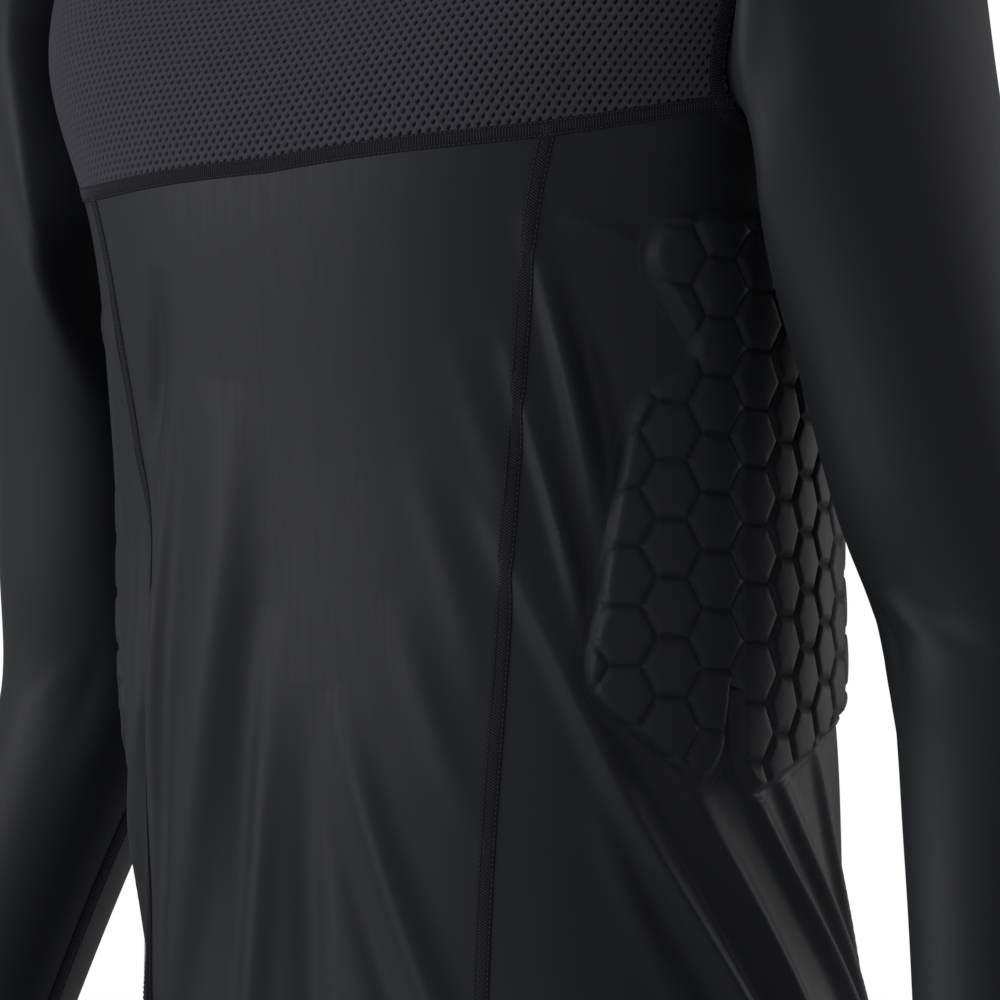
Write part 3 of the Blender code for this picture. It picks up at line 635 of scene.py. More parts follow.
def yoke_line(start, end):
    """Places along the left half of the yoke's seam."""
    at = spline([s.arc for s in YOKE_SEAM], [s.level for s in YOKE_SEAM])
    arcs = np.linspace(start, end, 100)
    return np.stack([arcs, at(arcs)], axis=1)


def armhole(steps, out=0.0):
    """Places on the left armhole, or out from it. Step 0 is at the armpit, and the
    steps climb the front to the shoulder and come down the back."""
    turn = np.asarray(steps, float) * 2 * math.pi / ARMHOLE_STEPS
    sin, cos = np.sin(turn), np.cos(turn)
    reach = np.where(sin > 0, ARMHOLE_FRONT, ARMHOLE_BACK) + out
    square = (sin > 0) & (cos > 0)
    power = 2 / np.where(square, ARMHOLE_FRONT_FULLNESS, ARMHOLE_FULLNESS)
    arc = SIDE_ARC - reach * powered(sin, power)
    level = ARMHOLE_LEVEL - (ARMHOLE_HALF_HEIGHT + out) * powered(cos, power)
    return np.stack([arc, level], axis=1)


def straight(arc, level, to_arc, to_level):
    """Places along a straight line of the pattern."""
    t = np.linspace(0, 1, 50)[:, None]
    return np.array([arc, level]) * (1 - t) + np.array([to_arc, to_level]) * t


def mirrored(line):
    """The same places on the other side of the body, in the opposite order."""
    return line[::-1] * [-1, 1]


def both_halves(line):
    """A line from the centre front outwards, made whole from right to left."""
    return np.concatenate([mirrored(line), line[1:]])


# %% Filling four edges
def patch(bottom, right, top, left, columns, rows):
    """A grid of places inside four edges. The side edges climb; top and bottom run
    the way the arcs grow."""
    b, t = evenly(bottom, columns)[None], evenly(top, columns)[None]
    l, r = evenly(left, rows)[:, None], evenly(right, rows)[:, None]
    u = np.linspace(0, 1, columns)[None, :, None]
    v = np.linspace(0, 1, rows)[:, None, None]
    twice = (1 - v) * ((1 - u) * b[:, :1] + u * b[:, -1:])
    twice = twice + v * ((1 - u) * t[:, :1] + u * t[:, -1:])
    return (1 - v) * b + v * t + (1 - u) * l + u * r - twice


def in_from_edge(grid, gap):
    """The grid with its rim moved in, to leave a seam's gap."""
    grid = grid.copy()
    for edge, inside in ((0, 1), (-1, -2)):
        for lines in (grid, grid.swapaxes(0, 1)):
            step = lines[inside] - lines[edge]
            length = np.linalg.norm(step, axis=-1, keepdims=True)
            lines[edge] += step / np.maximum(length, 1e-6) * gap
    return grid


def wall_at(height):
    """The cloth's thickness at a height above its hem or cuff."""
    turned = np.clip((HEM_DEPTH - height) / HEM_EASE, 0, 1)
    return CLOTH + (HEM_CLOTH - CLOTH) * turned


def body_piece(name, node, grid, material, drop=0.0):
    """A piece of the body from a grid of places."""
    grid = in_from_edge(grid, SEAM_GAP / 2)
    outer, _ = torso(grid, -drop)
    inner, _ = torso(grid, -drop - wall_at(grid[..., 1]))
    piece = cloth_wall(name, outer, inner, grid, material)
    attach(piece, "root")
    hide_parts(node)
    print(name, len(piece.data.polygons), "faces")
    return piece


# %% The edges that pieces share
shoulder_step = ARMHOLE_STEPS / 2
yoke_corner = FRONT_SEAM[-1]
yoke_end = armhole([YOKE_END_STEP])[0]
back_end = armhole([BACK_END_STEP])[0]
yoke_across = yoke_line(0, yoke_corner.left)
yoke_outer = yoke_line(yoke_corner.left, yoke_end[0])
whole_yoke = both_halves(np.concatenate([yoke_across, yoke_outer[1:]]))
under_arm = armhole(np.linspace(YOKE_END_STEP, BACK_END_STEP, 120))
back_rows = BACK_SEAM[:-1] + (Seam(back_end[1], back_end[0], back_end[0]),)
back_edge = seam_line(back_rows, "left", 0, back_end[1])
shoulder = straight(SIDE_ARC, ARMHOLE_LEVEL + ARMHOLE_HALF_HEIGHT, SIDE_ARC, NECK_LEVEL)
front_edge = {side: seam_line(FRONT_SEAM, side, 0, yoke_corner.level) for side in SIDES}

# %% Centre front
front_grid = patch(
    bottom=straight(-front_edge["right"][0][0], 0, front_edge["left"][0][0], 0),
    right=front_edge["left"],
    top=both_halves(yoke_across),
    left=front_edge["right"] * [-1, 1],
    columns=100,
    rows=208,
)
front = body_piece("front_panel_cloth", "front_panel", front_grid, stretch_cloth)

# %% Side panels
# The left side has the finer grid, since its folds are narrow.
SIDE_GRID = {"left": (175, 229), "right": (136, 208)}
side_pieces = {}
for side, sign in SIDES.items():
    grid = patch(
        bottom=straight(front_edge[side][0][0], 0, back_edge[0][0], 0),
        right=back_edge,
        top=np.concatenate([yoke_outer, under_arm[1:]]),
        left=front_edge[side],
        columns=SIDE_GRID[side][0],
        rows=SIDE_GRID[side][1],
    )
    if sign < 0:
        grid = grid[:, ::-1] * [-1, 1]
    name = "side_panel_" + side
    side_pieces[side] = body_piece(name + "_cloth", name, grid, stretch_cloth)

# %% Back
down_back = np.linspace(ARMHOLE_STEPS + BACK_END_STEP, shoulder_step, 80)
back_side = np.concatenate([back_edge, armhole(down_back)[1:], shoulder[1:]])
back_grid = patch(
    bottom=straight(back_edge[0][0], 0, 2 * HALF_GIRTH - back_edge[0][0], 0),
    right=back_side * [-1, 1] + [2 * HALF_GIRTH, 0],
    top=straight(SIDE_ARC, NECK_LEVEL, 3 * SIDE_ARC, NECK_LEVEL),
    left=back_side,
    columns=115,
    rows=205,
)
back = body_piece("back_panel_cloth", "back_panel", back_grid, stretch_cloth)

# %% Ground of the chest yoke
up_front = np.linspace(YOKE_END_STEP, shoulder_step, 80)
yoke_side = np.concatenate([armhole(up_front), shoulder[1:]])
yoke_grid = patch(
    bottom=whole_yoke,
    right=yoke_side,
    top=straight(-SIDE_ARC, NECK_LEVEL, SIDE_ARC, NECK_LEVEL),
    left=yoke_side * [-1, 1],
    columns=136,
    rows=82,
)
# Its finish paints this ground darker than the knit, as painted shade under the eyelets.
yoke = body_piece("front_yoke_ground", "front_yoke", yoke_grid, mesh_ground, drop=0.5)


# %% [markdown]
# ## Sleeves
#
# A sleeve is a tube: it starts on the armhole and runs through the rings of its table to
# the cuff. The net of the torso is no help here, so the sleeve gets a net of its own,
# with steps round it and a run down it, and the same kind of look-up.

# %% The net of a sleeve
def sleeve_net(side, rows, steps):
    """Rings of a sleeve as if on the left, from the armhole to the cuff."""
    edge = armhole(steps)
    centre = np.array([SIDE_ARC, ARMHOLE_LEVEL])
    edge = edge + (centre - edge) * (SEAM_GAP / 2 / ARMHOLE_FRONT)
    start, normal = torso(edge)
    turn = np.asarray(steps, float) * 2 * math.pi / ARMHOLE_STEPS
    sin, cos = np.sin(turn)[:, None], np.cos(turn)[:, None]
    rings = [start + normal * SLEEVE_STAND]
    for c in SLEEVE:
        fullness = c.fullness if side == "left" else c.right_fullness
        power = 2 / np.where((sin > 0) & (cos > 0), fullness, 2)
        middle_y = c.y if side == "left" else c.right_y
        middle = np.array([(c.x_in + c.x_out) / 2, middle_y, (c.z_in + c.z_out) / 2])
        inward = np.array([(c.x_in - c.x_out) / 2, 0, (c.z_in - c.z_out) / 2])
        forward = np.array([0, -c.half_depth, 0])
        rings.append(middle + powered(cos, power) * inward + powered(sin, power) * forward)
    rings = np.array(rings)
    apart = np.linalg.norm(np.diff(rings.mean(axis=1), axis=0), axis=1)
    run = np.concatenate([[0], np.cumsum(apart)])
    places = np.interp(np.linspace(0, 1, rows - 1), np.linspace(0, 1, len(run)), run)
    flat = rings.reshape(len(run), -1)
    smooth = np.stack([spline(run, flat[:, k])(places) for k in range(flat.shape[1])], 1)
    smooth = smooth.reshape(rows - 1, len(turn), 3)
    return np.concatenate([start[None], smooth]), np.concatenate([[0], places])


# %% Creases of a sleeve
# Step 0 is the inside of the arm, 7 its front and 14 its outside. run is in millimetres.
# The last two numbers say how much of it each arm shows: the right one hangs straighter.
Crease = namedtuple("Crease", "step run to_step to_run width height left right")
CREASES = (
    Crease(3.6, 286, 4.6, 330, 5, -3.0, 1, 0.3),
    Crease(4.8, 292, 6.6, 318, 7, 2.0, 1, 0.3),
    Crease(2.4, 300, 3.6, 352, 8, 2.5, 1, 0.3),
    Crease(6.4, 300, 9.0, 330, 9, -1.6, 1, 0.3),
    Crease(24.5, 262, 25.8, 330, 8, 2.5, 1, 0.3),
    Crease(2.0, 500, 8.0, 520, 7, 1.4, 1, 1),
    Crease(18.0, 508, 25.0, 486, 8, 1.4, 1, 1),
)
GIRTH_RUNS = (0, 150, 570)
GIRTHS = (430, 360, 190)  # round the arm at those runs
CREASE_END = 12  # how far a crease fades out past its ends


def sleeve_folds(side, steps, runs):
    """How far the creases lift the sleeve, for each run and step."""
    girth = np.interp(runs, GIRTH_RUNS, GIRTHS)[:, None]
    total = np.zeros((len(runs), len(steps)))
    for c in CREASES:
        t = np.clip((runs - c.run) / (c.to_run - c.run), 0, 1)[:, None]
        middle = c.step + (c.to_step - c.step) * t
        turn = (np.asarray(steps)[None] - middle + ARMHOLE_STEPS / 2) % ARMHOLE_STEPS
        beside = (turn - ARMHOLE_STEPS / 2) / ARMHOLE_STEPS * girth
        past = runs[:, None] - (c.run + (c.to_run - c.run) * t)
        fade = 0.3 + 0.7 * np.sin(math.pi * t)
        height = c.height * getattr(c, side)
        ends = np.exp(-((past / CREASE_END) ** 2))
        total += height * fade * ends * np.exp(-((beside / c.width) ** 2))
    return total


# %% Sleeve pieces
SLEEVE_COLUMNS = 96
SLEEVE_ROWS = 181
MIRROR = [-1, 1, 1]
sleeve_nets = {}
sleeves = {}
for side in SIDES:
    steps = np.linspace(0, ARMHOLE_STEPS, SLEEVE_COLUMNS, endpoint=False)
    net, runs = sleeve_net(side, SLEEVE_ROWS, steps)
    turned = np.roll(net, -1, axis=1) - np.roll(net, 1, axis=1)
    normal = np.cross(np.gradient(net, axis=0), turned)
    normal /= np.linalg.norm(normal, axis=2)[:, :, None]
    outer = net + normal * sleeve_folds(side, steps, runs)[:, :, None]
    inner = outer - normal * wall_at(runs[-1] - runs)[:, None, None]
    sleeve_nets[side] = (outer, normal, runs)
    girth = np.linalg.norm(turned, axis=2).mean() / 2
    uv = np.stack(np.meshgrid(np.arange(SLEEVE_COLUMNS) * girth, runs), axis=2)
    if side == "right":
        outer, inner = outer * MIRROR, inner * MIRROR
    else:
        outer, inner, uv = outer[:, ::-1], inner[:, ::-1], uv[:, ::-1]
    name = "sleeve_" + side
    piece = cloth_wall(name + "_cloth", outer, inner, uv, stretch_cloth, ring=True)
    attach(piece, "root")
    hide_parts(name)
    sleeves[side] = piece
    print(name, len(piece.data.polygons), "faces,", round(runs[-1]), "mm long")


# %% Places on a sleeve
def sleeve_at(side):
    """A function like torso(), for places (step, row) on one sleeve."""
    net, normal, _ = sleeve_nets[side]
    net, normal = (np.concatenate([f, f[:, :1]], axis=1) for f in (net, normal))
    mirror = [1, 1, 1] if side == "left" else MIRROR

    def at(places, lift=0.0):
        flat = np.asarray(places, float).reshape(-1, 2)
        column = flat[:, 0] % ARMHOLE_STEPS / ARMHOLE_STEPS * SLEEVE_COLUMNS
        point, out = (lookup(f, flat[:, 1], column) for f in (net, normal))
        out = out / np.linalg.norm(out, axis=1)[:, None]
        point = point + out * np.ravel(lift)[:, None]
        shape = np.shape(places)[:-1] + (3,)
        return (point * mirror).reshape(shape), (out * mirror).reshape(shape)

    return at


# %% [markdown]
# ## Neck band
#
# The band is a strip folded in half, so its top edge is a soft roll. It is drawn as one
# closed loop of places, up the outside, over the fold and down the inside, carried round
# the neck.

# %% Neck band piece
BAND_STEPS = 168
Band = namedtuple("Band", "level out")
BAND = (
    Band(732.2, 0.0),
    Band(735.0, 0.5),
    Band(740.0, 0.8),
    Band(746.0, 0.8),
    Band(750.0, 0.4),
    Band(751.6, -0.5),
    Band(751.8, -1.3),
    Band(751.0, -2.1),
    Band(747.0, -2.6),
    Band(740.0, -2.6),
    Band(732.2, -2.4),
)
arcs = np.linspace(-HALF_GIRTH, HALF_GIRTH, BAND_STEPS, endpoint=False)
loops = np.array([torso(level_line(arcs, b.level), b.out)[0] for b in BAND])
numbers = list(range(len(BAND) * BAND_STEPS))
faces = lined(numbers + numbers[:BAND_STEPS], len(BAND) + 1, BAND_STEPS, ring=True)
band_uv = np.array([(a, b.level + b.out) for b in BAND for a in arcs]) * MM
band = made("neck_band", loops.reshape(-1, 3) * MM, faces, band_uv, stretch_cloth)
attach(band, "root")
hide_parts("collar")
print("neck band:", len(faces), "faces")


# %% [markdown]
# ## Rib pads
#
# The pad is foam, moulded in hexagons and bonded under a layer of the stretch cloth. The
# hexagons bend with the ribs because the grooves between them are thin. Its mesh has a
# triangular grid that is lined up with the hexagons, so that every groove runs along
# edges of the mesh and stays crisp, and loops of points round its rim.

# %% The pad's relief
GROOVE_WIDTH = 6.0
GROOVE_DEPTH = 1.5
CROWN = 0.6
FLANGE_EDGE = 0.8  # over this width the margin sinks into the cloth
FLANGE_SINK = 0.3
HEX_COLUMN = HEX_PITCH * math.sqrt(3) / 2
HEX_NORMALS = np.array([[0, 1], [math.sqrt(3) / 2, 0.5], [math.sqrt(3) / 2, -0.5]])
# The foam is drawn together where it bends under the arm, so its cells are narrower there.
ARC_STOPS = (120, 226, 272, 340)
LATTICE_STOPS = (120, 226, 285, 353)


def to_lattice(points):
    """Places of the pattern as they lie in the even grid of hexagons."""
    return np.stack([np.interp(points[:, 0], ARC_STOPS, LATTICE_STOPS), points[:, 1]], axis=1)


def from_lattice(points):
    """The way back, from the grid of hexagons to the pattern."""
    return np.stack([np.interp(points[:, 0], LATTICE_STOPS, ARC_STOPS), points[:, 1]], axis=1)


def to_groove(points):
    """How far each point is from the nearest groove between two hexagons."""
    best = None
    points = to_lattice(points)
    for shift in (0, 1):
        start = HEX_ORIGIN + np.array([HEX_COLUMN, HEX_PITCH / 2]) * shift
        pitch = np.array([2 * HEX_COLUMN, HEX_PITCH])
        middle = start + np.round((points - start) / pitch) * pitch
        away = np.abs((points - middle) @ HEX_NORMALS.T).max(axis=1)
        best = away if best is None else np.minimum(best, away)
    return HEX_PITCH / 2 - best


def pad_height(points, inside):
    """Height of the pad over the cloth. inside is the distance inside its outline."""
    share = np.clip(inside / PAD_BEVEL, 0, 1)
    rim = 0.9 * share + 0.1 * np.sin(share * math.pi / 2)
    near = np.clip(to_groove(points) / (GROOVE_WIDTH / 2), 0, 1)
    groove = (1 - near) ** 2 * (1 + near)
    crown = CROWN * (1 - np.clip(to_groove(points) / (HEX_PITCH / 2), 0, 1)) ** 2
    flange = FLANGE_HEIGHT * eased((inside + PAD_FLANGE + FLANGE_EDGE) / FLANGE_EDGE)
    full = PAD_HEIGHT - GROOVE_DEPTH * groove - crown
    return flange - FLANGE_SINK + (full - FLANGE_HEIGHT + FLANGE_SINK) * rim


# %% Loops round the pad's rim
RIM_LOOPS = (-PAD_FLANGE - FLANGE_EDGE, -PAD_FLANGE, -1.8, -0.4, 0.4, 1.3, 2.4, 3.5)
RIM_PITCH = 1.25
RIM_SLACK = 0.12  # a loop's points may come this much too near the outline
CELL_STEPS = 10
UNDER_PITCH = 8.0  # the underside doesn't show, so it is coarse
UNDER_ARCS = np.arange(130, 322, UNDER_PITCH)
UNDER_LIFT = -0.7
UNDER_MARGIN = 3.0


def offset_loop(outline, by):
    """Runs of places at a distance inside an outline, broken where they'd overlap."""
    closed = np.concatenate([outline, outline[:1]])
    dense = evenly(closed, int(np.hypot(*np.diff(closed, axis=0).T).sum() / RIM_PITCH))[:-1]
    ahead = np.roll(dense, -1, axis=0) - np.roll(dense, 1, axis=0)
    across = np.stack([-ahead[:, 1], ahead[:, 0]], 1) / np.hypot(*ahead.T)[:, None]
    moved = dense + across * by
    off = np.abs(distance_to(moved, outline) - by) > RIM_SLACK
    return moved, off


def filled(points, edges):
    """Triangles through all the points, as far as the pad's margin, that keep the edges."""
    flat = [Vector(p) for p in points]
    found, _, faces, _, _, _ = delaunay_2d_cdt(flat, edges, [], 0, 1e-4)
    found = np.array(found)
    middles = found[np.array([tuple(f) for f in faces])].mean(axis=1)
    inside = distance_to(middles, PAD_OUTLINE) > RIM_LOOPS[0] - 0.05
    return found, [tuple(f) for f, keep in zip(faces, inside) if keep]


def rim_of(faces):
    """Edges used by one face only, each in its face's direction."""
    seen = {}
    for f in faces:
        for a, b in zip(f, f[1:] + f[:1]):
            seen[(a, b)] = seen.get((a, b), 0) + 1
    return [(a, b) for a, b in seen if (b, a) not in seen]


# %% The points of the hexagons
def lattice_spots():
    """Places of the triangular grid that lie well inside the pad."""
    step = HEX_PITCH / math.sqrt(3) / CELL_STEPS
    rise = step * math.sqrt(3) / 2
    reach = to_lattice(PAD_OUTLINE) - HEX_ORIGIN
    low, high = reach.min(axis=0), reach.max(axis=0)
    found = []
    for j in range(int(low[1] / rise) - 1, int(high[1] / rise) + 2):
        lean = j * step / 2
        row = np.arange(int((low[0] - lean) / step) - 1, int((high[0] - lean) / step) + 2)
        spots = from_lattice(HEX_ORIGIN + level_line(row * step + lean, j * rise))
        found += list(spots[distance_to(spots, PAD_OUTLINE) > RIM_LOOPS[-1] + 0.6 * step])
    return found


# %% The whole pad
def pad_mesh():
    """Places, heights and faces of the left pad, its top first and then its underside."""
    points, edges = [], []
    for by in RIM_LOOPS:
        moved, off = offset_loop(PAD_OUTLINE, by)
        kept = np.flatnonzero(~off)
        number = {k: len(points) + i for i, k in enumerate(kept)}
        points += list(moved[kept])
        for k in kept:
            after = (k + 1) % len(moved)
            if after in number:
                edges.append((number[k], number[after]))
    found, faces = filled(points + lattice_spots(), edges)
    heights = pad_height(found, distance_to(found, PAD_OUTLINE))
    rim = rim_of(faces)
    ends = sorted({a for a, b in rim})
    place = {a: i for i, a in enumerate(ends)}
    under = [found[a] for a in ends]
    for level in np.arange(PAD_OUTLINE[:, 1].min(), PAD_OUTLINE[:, 1].max(), UNDER_PITCH):
        spots = level_line(UNDER_ARCS, level)
        under += list(spots[distance_to(spots, PAD_OUTLINE) > UNDER_MARGIN])
    under_at, under_faces = filled(under, [(place[a], place[b]) for a, b in rim])
    shift = len(found)
    faces += [tuple(shift + i for i in f[::-1]) for f in under_faces]
    faces += [(b, a, shift + place[a], shift + place[b]) for a, b in rim]
    places = np.concatenate([found, under_at])
    heights = np.concatenate([heights, np.full(len(under_at), UNDER_LIFT)])
    return places, heights, faces


# %% Both pads
pad_places, pad_heights, pad_faces = pad_mesh()
for side, sign in SIDES.items():
    points, _ = torso(on_side(pad_places, sign), pad_heights)
    faces = pad_faces if sign > 0 else [f[::-1] for f in pad_faces]
    pad = made("rib_pad_" + side, points * MM, faces, pad_places * MM, stretch_cloth)
    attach(pad, "root")
    print(pad.name, len(faces), "faces")

# %% [markdown]
# ## Eyelets of the chest mesh
#
# The yoke is an airy knit: rows of small slanted eyelets, each row half a step along from
# the one below. There are thousands, all alike, so one eyelet is modelled and Geometry
# Nodes put a copy on each point of a grid. But the grid is flat and the chest isn't. The
# yoke is therefore unwrapped first, as if its cloth were laid on a table, the eyelets are
# laid out there at their real size, and then each of their points is carried back to the
# body. That keeps them even over the shoulders too, where a simple projection would
# stretch them.

# %% The yoke laid flat
def laid_flat(grid):
    """Where the points of a grid of places lie when the cloth is laid flat, in mm."""
    rows, columns = grid.shape[:2]
    points = torso(grid)[0].reshape(-1, 3)
    faces = lined(range(rows * columns), rows, columns)
    sheet = made("yoke_on_the_table", points * MM, faces, np.zeros((len(points), 2)), mesh_knit)
    bpy.context.view_layer.objects.active = sheet
    sheet.select_set(True)
    bpy.ops.object.mode_set(mode="EDIT")
    bpy.ops.mesh.select_all(action="SELECT")
    bpy.ops.uv.unwrap(method="MINIMUM_STRETCH", iterations=20, margin=0.0)
    bpy.ops.object.mode_set(mode="OBJECT")
    flat = np.zeros((len(points), 2))
    corner = read(sheet.data.loops, "vertex_index", kind=int)[:, 0]
    flat[corner] = read(sheet.data.uv_layers["cloth"].data, "uv", 2)
    bpy.data.objects.remove(sheet)
    a, b = np.array([f[:2] for f in faces]).T
    worn, laid = (np.linalg.norm(at[a] - at[b], axis=1) for at in (points, flat))
    flat = flat.reshape(rows, columns, 2) * np.median(worn / laid)
    low, high = flat[0, columns // 2], flat[-1, columns // 2]
    up = (high - low) / np.linalg.norm(high - low)
    flat = (flat - low) @ np.array([[up[1], up[0]], [-up[0], up[1]]])
    if flat[0, -1, 0] < 0:
        flat[..., 0] *= -1
    return flat


yoke_flat = laid_flat(yoke_grid)
flat_low, flat_high = yoke_flat.min(axis=(0, 1)), yoke_flat.max(axis=(0, 1))
print("yoke laid flat:", np.round(flat_high - flat_low), "mm")

# %% One eyelet
EYELET_PITCH = (4.2, 3.1)
EYELET_HOLE = (0.68, 1.15)
EYELET_LEAN = 0.35
EYELET_DEPTH = 0.42
EDGE_LIFT = 0.2
CREST_LIFT = 0.38
CREST_SHARE = 0.62  # how near the crest lies to the hole
half, rise = EYELET_PITCH[0] / 2, EYELET_PITCH[1]
shoulder_height = (rise**2 - half**2) / (2 * rise)
corners = np.array([
    (0, rise - shoulder_height),
    (-half, shoulder_height),
    (-half, -shoulder_height),
    (0, shoulder_height - rise),
    (half, -shoulder_height),
    (half, shoulder_height),
])
around = np.arctan2(corners[:, 1] / rise, corners[:, 0] / half)
hole = np.stack([np.cos(around) * EYELET_HOLE[0], np.sin(around) * EYELET_HOLE[1]], axis=1)
hole[:, 0] += hole[:, 1] * EYELET_LEAN
crest = corners * (1 - CREST_SHARE) + hole * CREST_SHARE
rings = ((corners, EDGE_LIFT), (crest, CREST_LIFT), (hole, -EYELET_DEPTH))
points = np.concatenate([np.column_stack([at, np.full(6, lift)]) for at, lift in rings])
faces = lined(range(18), 3, 6, ring=True)
eyelet = made("eyelet", points * MM, faces, None, mesh_knit)
print("one eyelet:", len(faces), "faces")


# %% Node tree helpers
def new_tree(name, inputs):
    """A geometry node tree with named inputs: (name, socket type, value). Gives the tree
    and the sockets that hold its inputs."""
    tree = bpy.data.node_groups.new(name, "GeometryNodeTree")
    for label, kind, value in inputs:
        socket = tree.interface.new_socket(label, in_out="INPUT", socket_type="NodeSocket" + kind)
        if value is not None:
            socket.default_value = value
    tree.interface.new_socket("Geometry", in_out="OUTPUT", socket_type="NodeSocketGeometry")
    return tree, tree.nodes.new("NodeGroupInput").outputs


def maths(tree, operation, a, b=None):
    """A Math node's output. a and b are sockets or numbers."""
    inputs = {k: value for k, value in enumerate((a, b)) if value is not None}
    return new_node(tree, "ShaderNodeMath", inputs, operation=operation).outputs[0]


def give_out(tree, geometry, material):
    """The end of a tree: the geometry, in its material, is what the tree makes."""
    inputs = {"Geometry": geometry, "Material": material}
    dressed = new_node(tree, "GeometryNodeSetMaterial", inputs)
    new_node(tree, "NodeGroupOutput", {0: dressed.outputs[0]})


def grown(name, host, tree, values):
    """The plain mesh that a tree makes on a host object, with its inputs set."""
    modifier = host.modifiers.new(name, "NODES")
    modifier.node_group = tree
    identifier = {
        item.name: item.identifier
        for item in tree.interface.items_tree
        if item.item_type == "SOCKET" and item.in_out == "INPUT"
    }
    for label, value in values.items():
        modifier[identifier[label]] = value
    host.update_tag()
    graph = bpy.context.evaluated_depsgraph_get()
    graph.update()
    mesh = bpy.data.meshes.new_from_object(host.evaluated_get(graph))
    host.modifiers.remove(modifier)
    mesh.name = name
    return mesh


# %% The tree that lays out the eyelets
WELD = 0.05


def eyelet_tree():
    """Copies of one eyelet on a flat grid, each second row half a step along."""
    tree, given = new_tree("rows_of_eyelets", (
        ("Geometry", "Geometry", None),
        ("Eyelet", "Object", None),
        ("Across", "Int", 10),
        ("Up", "Int", 10),
        ("Pitch Across", "Float", EYELET_PITCH[0] * MM),
        ("Pitch Up", "Float", EYELET_PITCH[1] * MM),
        ("Material", "Material", None),
    ))
    add, calc = partial(new_node, tree), partial(maths, tree)
    width = calc("MULTIPLY", calc("SUBTRACT", given["Across"], 1), given["Pitch Across"])
    height = calc("MULTIPLY", calc("SUBTRACT", given["Up"], 1), given["Pitch Up"])
    grid = add("GeometryNodeMeshGrid", {
        "Size X": width,
        "Size Y": height,
        "Vertices X": given["Across"],
        "Vertices Y": given["Up"],
    })
    where = add("ShaderNodeSeparateXYZ", {0: add("GeometryNodeInputPosition").outputs[0]})
    row = calc("ROUND", calc("DIVIDE", where.outputs["Y"], given["Pitch Up"]))
    odd = calc("FLOORED_MODULO", row, 2)
    shift = calc("MULTIPLY", calc("MULTIPLY", odd, given["Pitch Across"]), 0.5)
    offset = add("ShaderNodeCombineXYZ", {"X": shift}).outputs[0]
    moved = add("GeometryNodeSetPosition", {"Geometry": grid.outputs["Mesh"], "Offset": offset})
    source = add("GeometryNodeObjectInfo", {"Object": given["Eyelet"]})
    copies = add("GeometryNodeInstanceOnPoints", {
        "Points": moved.outputs[0],
        "Instance": source.outputs["Geometry"],
    })
    real = add("GeometryNodeRealizeInstances", {0: copies.outputs[0]})
    welded = add("GeometryNodeMergeByDistance", {
        "Geometry": real.outputs[0],
        "Distance": WELD * MM,
    })
    give_out(tree, welded.outputs[0], given["Material"])
    return tree


# %% The net of eyelets on the table
across = int((flat_high[0] - flat_low[0]) / EYELET_PITCH[0]) + 3
up = int(2 * max(flat_high[1], -flat_low[1]) / EYELET_PITCH[1]) + 3
host = placed("table", bpy.data.meshes.new("table"))
flat_net = grown("eyelets", host, eyelet_tree(), {
    "Eyelet": eyelet,
    "Across": across,
    "Up": up + 1 - up % 2,
    "Material": mesh_knit,
})
bpy.data.objects.remove(host)
bpy.data.objects.remove(eyelet)
print("flat net:", len(flat_net.polygons), "faces")


# %% From the table to the chest
def flat_cross(p, q):
    """Twice the area between two flat vectors, for many at once."""
    return p[:, 0] * q[:, 1] - p[:, 1] * q[:, 0]


def carried(flat, grid, spots):
    """Places of the pattern for spots on the laid-out cloth, and which are on it."""
    rows, columns = grid.shape[:2]
    quads = lined(range(rows * columns), rows, columns)
    tris = [t for a, b, c, d in quads for t in ((a, b, c), (a, c, d))]
    flat, place = flat.reshape(-1, 2), grid.reshape(-1, 2)
    corners = np.column_stack([flat, np.zeros(len(flat))])
    table = BVHTree.FromPolygons(corners.tolist(), tris)
    down = Vector((0, 0, -1))
    hits = [table.ray_cast(Vector((x, y, 1)), down)[2] for x, y in spots]
    found = np.array([h is not None for h in hits])
    tri = np.array(tris)[[h or 0 for h in hits]]
    a, b, c = (flat[tri[:, k]] for k in range(3))
    area = flat_cross(b - a, c - a)
    v = flat_cross(spots - a, c - a) / area
    w = flat_cross(b - a, spots - a) / area
    shares = (1 - v - w, v, w)
    return sum(place[tri[:, k]] * share[:, None] for k, share in enumerate(shares)), found


spots = read(flat_net.vertices, "co", 3) / MM
spots[:, 1] += (flat_high[1] + flat_low[1]) / 2
places, on_cloth = carried(yoke_flat, in_from_edge(yoke_grid, SEAM_GAP), spots[:, :2])
faces = [tuple(f.vertices) for f in flat_net.polygons]
faces = [f for f in faces if on_cloth[list(f)].all()]
used = sorted({v for f in faces for v in f})
number = {v: i for i, v in enumerate(used)}
faces = [tuple(number[v] for v in f) for f in faces]
points, _ = torso(places[used], spots[used, 2])
eyelets = made("front_yoke_eyelets", points * MM, faces, spots[used, :2] * MM, mesh_knit, 180)
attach(eyelets, "root")
print("eyelets on the chest:", len(faces), "faces")

# %% [markdown]
# ## Flat seams
#
# Sports shirts are sewn with flat seams, because a standing seam would rub. The two edges
# overlap, and a band of thread covers the join on the outside. So each seam here is a
# thin band on the cloth, and over it lie the threads: two rows of needle stitches along
# it, and cover threads that cross from one row to the other. The band is swept from a
# small table of its section. The stitches are one Geometry Nodes tree, used many times:
# it walks along guide lines and sets down one bent thread after another.

# %% The section of a band
BAND_HALF = 3.4
SMALL = 0.5  # the step that slopes are measured over
Edge = namedtuple("Edge", "across lift")
SECTION = (
    Edge(-1.0, -0.35),
    Edge(-1.0, 0.25),
    Edge(-0.9, 0.5),
    Edge(-0.3, 0.45),
    Edge(0.3, 0.45),
    Edge(0.9, 0.5),
    Edge(1.0, 0.25),
    Edge(1.0, -0.35),
)


